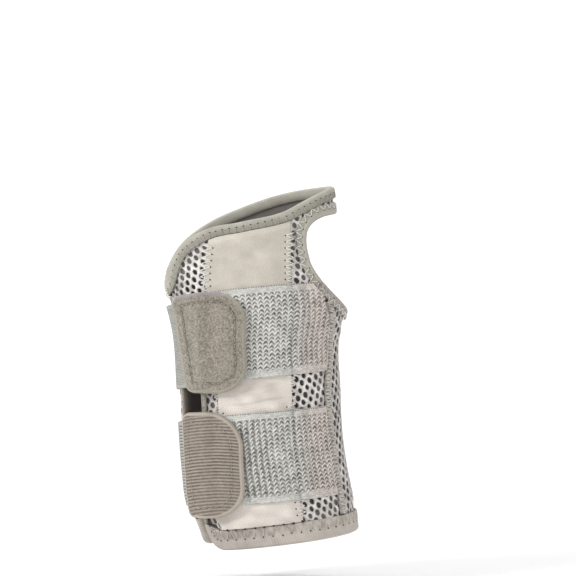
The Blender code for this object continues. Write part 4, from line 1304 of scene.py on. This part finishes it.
def tape_ring(width, near, far):
    """Cross-section of a folded tape: rows of (depth into the cloth, offset from its middle)."""
    nose = np.linspace(0.5 * math.pi, -0.5 * math.pi, 9)
    ring = [(width, near + 0.15 * MM), (width - 0.15 * MM, far - 0.12 * MM)]
    ring += [(width - 0.5 * MM, far - 0.02 * MM)]
    ring += [(share * width, far + rise * MM) for share, rise in TAPE_CROWN]
    ring += [(TAPE_ROLL * (1 - math.cos(a)), (far + 0.05 * MM) * math.sin(a)) for a in nose]
    ring += [(0.45 * width, -far), (0.7 * width, -far), (width - 0.2 * MM, -far), (width, -near)]
    deep = TAPE_THICKNESS + 0.5 * MM
    ring += [(deep, -near), (TAPE_THICKNESS, -0.4 * near), (TAPE_THICKNESS, 0.4 * near), (deep, near)]
    return np.array(ring)


def tape(kind):
    """A folded tape with rounded nose, swept along an edge of the sleeve."""
    near = PRESSED_THICKNESS / 2 + 0.2 * MM
    far = PRESSED_THICKNESS / 2 + CLEARANCE + TAPE_THICKNESS
    ring = tape_ring(kind.width, near, far)
    fine = spread(kind.path, TAPE_STEP, kind.wrap)
    side = inward(fine, kind.wrap)
    shape = len(fine), len(ring)
    places = fine[:, None] + side[:, None] * ring[None, :, :1]
    offset = np.broadcast_to(ring[:, 1], shape).copy()
    depth = np.broadcast_to(ring[:, 0], shape)
    t = np.broadcast_to(TAPE_STEP * np.arange(len(fine))[:, None], shape)
    offset += np.sign(offset) * kind.relief(t, depth) * (np.arange(len(ring)) < len(ring) - 4)
    tint = knitted(t) if kind.node == "thumb_binding" else np.zeros(shape)
    points = SKIN.at(places[..., 0], places[..., 1], MIDDLE + offset)
    index = np.arange(offset.size).reshape(shape)
    if kind.wrap is None:
        quads, caps = ring_faces(index), [index[:1], index[-1:, ::-1]]
    else:
        quads, caps = ring_faces(np.vstack([index, index[:1]])), []
    made = piece(kind.node, "tape", kind.slot, kind.look, points.reshape(-1, 3),
                 [quads[:, ::-1], *caps], pairs(t, depth), kind.shade(t, depth).ravel(), tint.ravel())
    return made, fine, side


def zigzag(kind, fine, side):
    """A zigzag of stitches along a tape, with needle holes at its outer turns.

    Inner turns on the splint pocket have larger holes where the tape has a notch radius.
    """
    step = max(1, round(kind.pitch / 2 / TAPE_STEP))
    pick = np.arange(0, len(fine) - step, step)
    depths = np.where(np.arange(len(pick)) % 2, kind.deep * kind.width, kind.near * kind.width)
    turns = fine[pick] + side[pick] * depths[:, None]
    turns += np.random.default_rng(7).normal(0, 0.13 * MM, turns.shape)

    def base(s, z):
        away = distance_to(pairs(s, z), fine).reshape(np.shape(s))
        return TAPE_PROUD - 0.8 * MM * ease((away - kind.width) / (0.7 * MM))

    made = [threads(kind.node, "stitches", kind.slot, kind.thread, turns[:-1], turns[1:], base,
                    kind.radius),
            dots(kind.node, "needles", kind.slot, turns[::2], base, 0.36 * MM)]
    if kind.notch:
        inner = turns[1::2]
        made.append(dots(kind.node, "notches", kind.slot, inner[inside_pocket(*inner.T) > 0],
                         lambda s, z: base(s, z) + 0.8 * MM, kind.notch))
    return made


def thumb_joint():
    """How far along the thumb's tape its knitted stretch, behind the long seam, ends."""
    path = spread(THUMB, TAPE_STEP, ONCE_ROUND_HOLE)
    behind = (path[:, 0] > run("thumb_seam", path[:, 1])) & (path[:, 1] < level(0.4))
    return TAPE_STEP * np.flatnonzero(behind)[-1]


JOINT = thumb_joint()


def knitted(t):
    return ease((JOINT - t) / (0.6 * MM))


def bars(t, depth):
    return 0.5 + 0.5 * ripple(t / (1.7 * MM) + depth / (3 * MM), 1)


def plain_relief(t, depth):
    return 0.03 * MM * ripple(t, TAPE_WEAVE)


def plain_shade(t, depth):
    inner = ease((depth - 0.45 * EDGE_TAPE) / (0.15 * EDGE_TAPE))
    return 0.92 - 0.32 * inner + 0.1 * noise(t, depth, 52, 2 * MM, MM) + 0.05 * ripple(t, TAPE_WEAVE)


def thumb_relief(t, depth):
    return 0.14 * MM * bars(t, depth) * knitted(t) - 0.3 * MM * bell(t - JOINT, 0.4 * MM)


# The dark line where the knitted stretch ends is painted shade in its groove.
def thumb_shade(t, depth):
    rough = 0.45 + 0.45 * bars(t, depth) + 0.2 * noise(t, depth, 54, 0.7 * MM)
    plain = 0.14 + plain_shade(t, depth)
    return plain * (1 - knitted(t)) + rough * knitted(t) - 0.6 * bell(t - JOINT, 0.4 * MM)


# Painted shade: the back slit tape darkens towards its nose, which faces into the gap.
def slit_painted_shade(t, depth):
    return plain_shade(t, depth) * (0.15 + 0.85 * ease((depth - 0.4 * MM) / MM))


def upper_half(depth):
    return ease((depth - 0.5 * HEM_TAPE) / (0.08 * HEM_TAPE))


def hem_relief(t, depth):
    upper = upper_half(depth)
    return 0.05 * MM * ripple(t, HEM_BUMP) * (1 - upper) + 0.09 * MM * noise(t, depth, 55, HEM_BUMP) * upper


def hem_shade(t, depth):
    """Fine ribs below with painted shade in their grooves, a rough upper half, and paler towards the thumb
    side.
    """
    paler = ease((t - 22 * MM) / (30 * MM))
    low = 0.64 + 0.24 * paler + 0.16 * ripple(t, HEM_BUMP)
    high = 0.42 + 0.36 * paler + 0.3 * noise(t, depth, 56, 0.6 * HEM_BUMP)
    share = upper_half(depth)
    return low * (1 - share) + high * share + 0.08 * noise(t, depth, 53, 2 * MM, MM)


# Every tape. near and deep are where its zigzag turns, as shares of its width; pitch, radius
# and thread are the zigzag's own; notch is the radius of the holes at its inner turns.
Tape = namedtuple("Tape", "node slot look path width wrap relief shade near deep pitch radius thread notch")
TAPES = [
    Tape("distal_binding", "tape", "tape", FINGERS, EDGE_TAPE, ONCE_ROUND_HAND, plain_relief, plain_shade,
         0.5, 1.1, EDGE_STITCH, 0.14 * MM, "tape", 0),
    Tape("thumb_binding", "tape", "tape", THUMB, EDGE_TAPE, ONCE_ROUND_HOLE, thumb_relief, thumb_shade,
         0.5, 1.15, EDGE_STITCH, 0.17 * MM, "thread", 0),
    Tape("hem_binding", "hem", "hem", HEM, HEM_TAPE, None, hem_relief, hem_shade,
         0.52, 1.03, HEM_STITCH, 0.12 * MM, "hem", 0.6 * MM),
    Tape("slit_binding_palm", "tape", "tape", slit_path(1), SLIT_TAPE, None, plain_relief, plain_shade,
         0.5, 0.9, EDGE_STITCH, 0.13 * MM, "tape", 0),
    Tape("slit_binding_back", "tape", "slit", slit_path(-1), SLIT_TAPE, None, plain_relief, slit_painted_shade,
         0.5, 0.9, EDGE_STITCH, 0.13 * MM, "slit", 0),
]


def tapes():
    """Every tape with its stitching."""
    for kind in TAPES:
        made, fine, side = tape(kind)
        more = zigzag(kind, fine, side)
        if kind.node == "distal_binding":
            more.append(overlock())


def overlock():
    """The short seam's threads, which run on over the tape at the fingers."""
    top = settle(finger_edge, lambda z: run("slit", z), level(0.35))
    at = np.arange(top - EDGE_TAPE - 0.5 * MM, top - 0.9 * MM, 0.5 * MM)
    turns = pairs(run("slit", at) + to_and_fro(at) * 0.42 * SEAM_WIDTH, at)

    def base(s, z):
        return np.full(np.shape(s), TAPE_PROUD)

    return threads("distal_binding", "overlock", "tape", "thread", turns[:-1], turns[1:], base, BOLD_THREAD)


# The studio


def stage():
    """A pale floor that curves up behind into a backdrop."""
    profile = [(-3.0, 0.0), (BEND_START, 0.0)]
    profile += [(BEND_START + BEND * math.sin(a), BEND * (1 - math.cos(a)))
                for a in np.linspace(0.05, math.pi / 2, 30)]
    profile += [(BEND_START + BEND, 4.0)]
    points = [(x, y, FLOOR_HEIGHT + z) for y, z in profile for x in (-4, 4)]
    faces = [(2 * k, 2 * k + 1, 2 * k + 3, 2 * k + 2) for k in range(len(profile) - 1)]
    mesh = bpy.data.meshes.new("floor")
    mesh.from_pydata(points, [], faces)
    mesh.polygons.foreach_set("use_smooth", [True] * len(mesh.polygons))
    made = Nodes("floor")
    made.shader.inputs["Base Color"].default_value = (FLOOR_TONE, FLOOR_TONE, FLOOR_TONE, 1)
    made.shader.inputs["Roughness"].default_value = 0.9
    made.shader.inputs["Specular IOR Level"].default_value = 0.1
    mesh.materials.append(made.material)
    link("floor", mesh)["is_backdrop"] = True


def studio():
    stage()
    for name, place, size, energy, target in LAMPS:
        light = bpy.data.lights.new(name, "AREA")
        light.shape = "DISK"
        light.size, light.energy = size, energy
        made = link(name, light)
        made.location = place
        made.rotation_euler = (Vector(target) - Vector(place)).to_track_quat("-Z", "Y").to_euler()
    world = bpy.data.worlds.new("studio")
    world.use_nodes = True
    shader = world.node_tree.nodes["Background"]
    shader.inputs["Color"].default_value = (1, 1, 1, 1)
    shader.inputs["Strength"].default_value = WORLD_LIGHT
    scene = bpy.context.scene
    scene.world = world
    scene.view_settings.view_transform = "Standard"
    camera = link("camera", bpy.data.cameras.new("camera"))
    camera.location = CAMERA_AT
    camera.rotation_euler = (math.pi / 2, 0, 0)
    camera.data.lens = CAMERA_LENS
    camera.data.sensor_width = CAMERA_SENSOR
    scene.camera = camera


studio()
sleeve()
seams()
pocket()
for closure in CLOSURES:
    band(closure)
    strap(closure)
    tab(closure)
tapes()

boxes = {"cad": CAD_BOX, "visual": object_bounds()}
{key: [list(map(float, corner)) for corner in box] for key, box in boxes.items()}
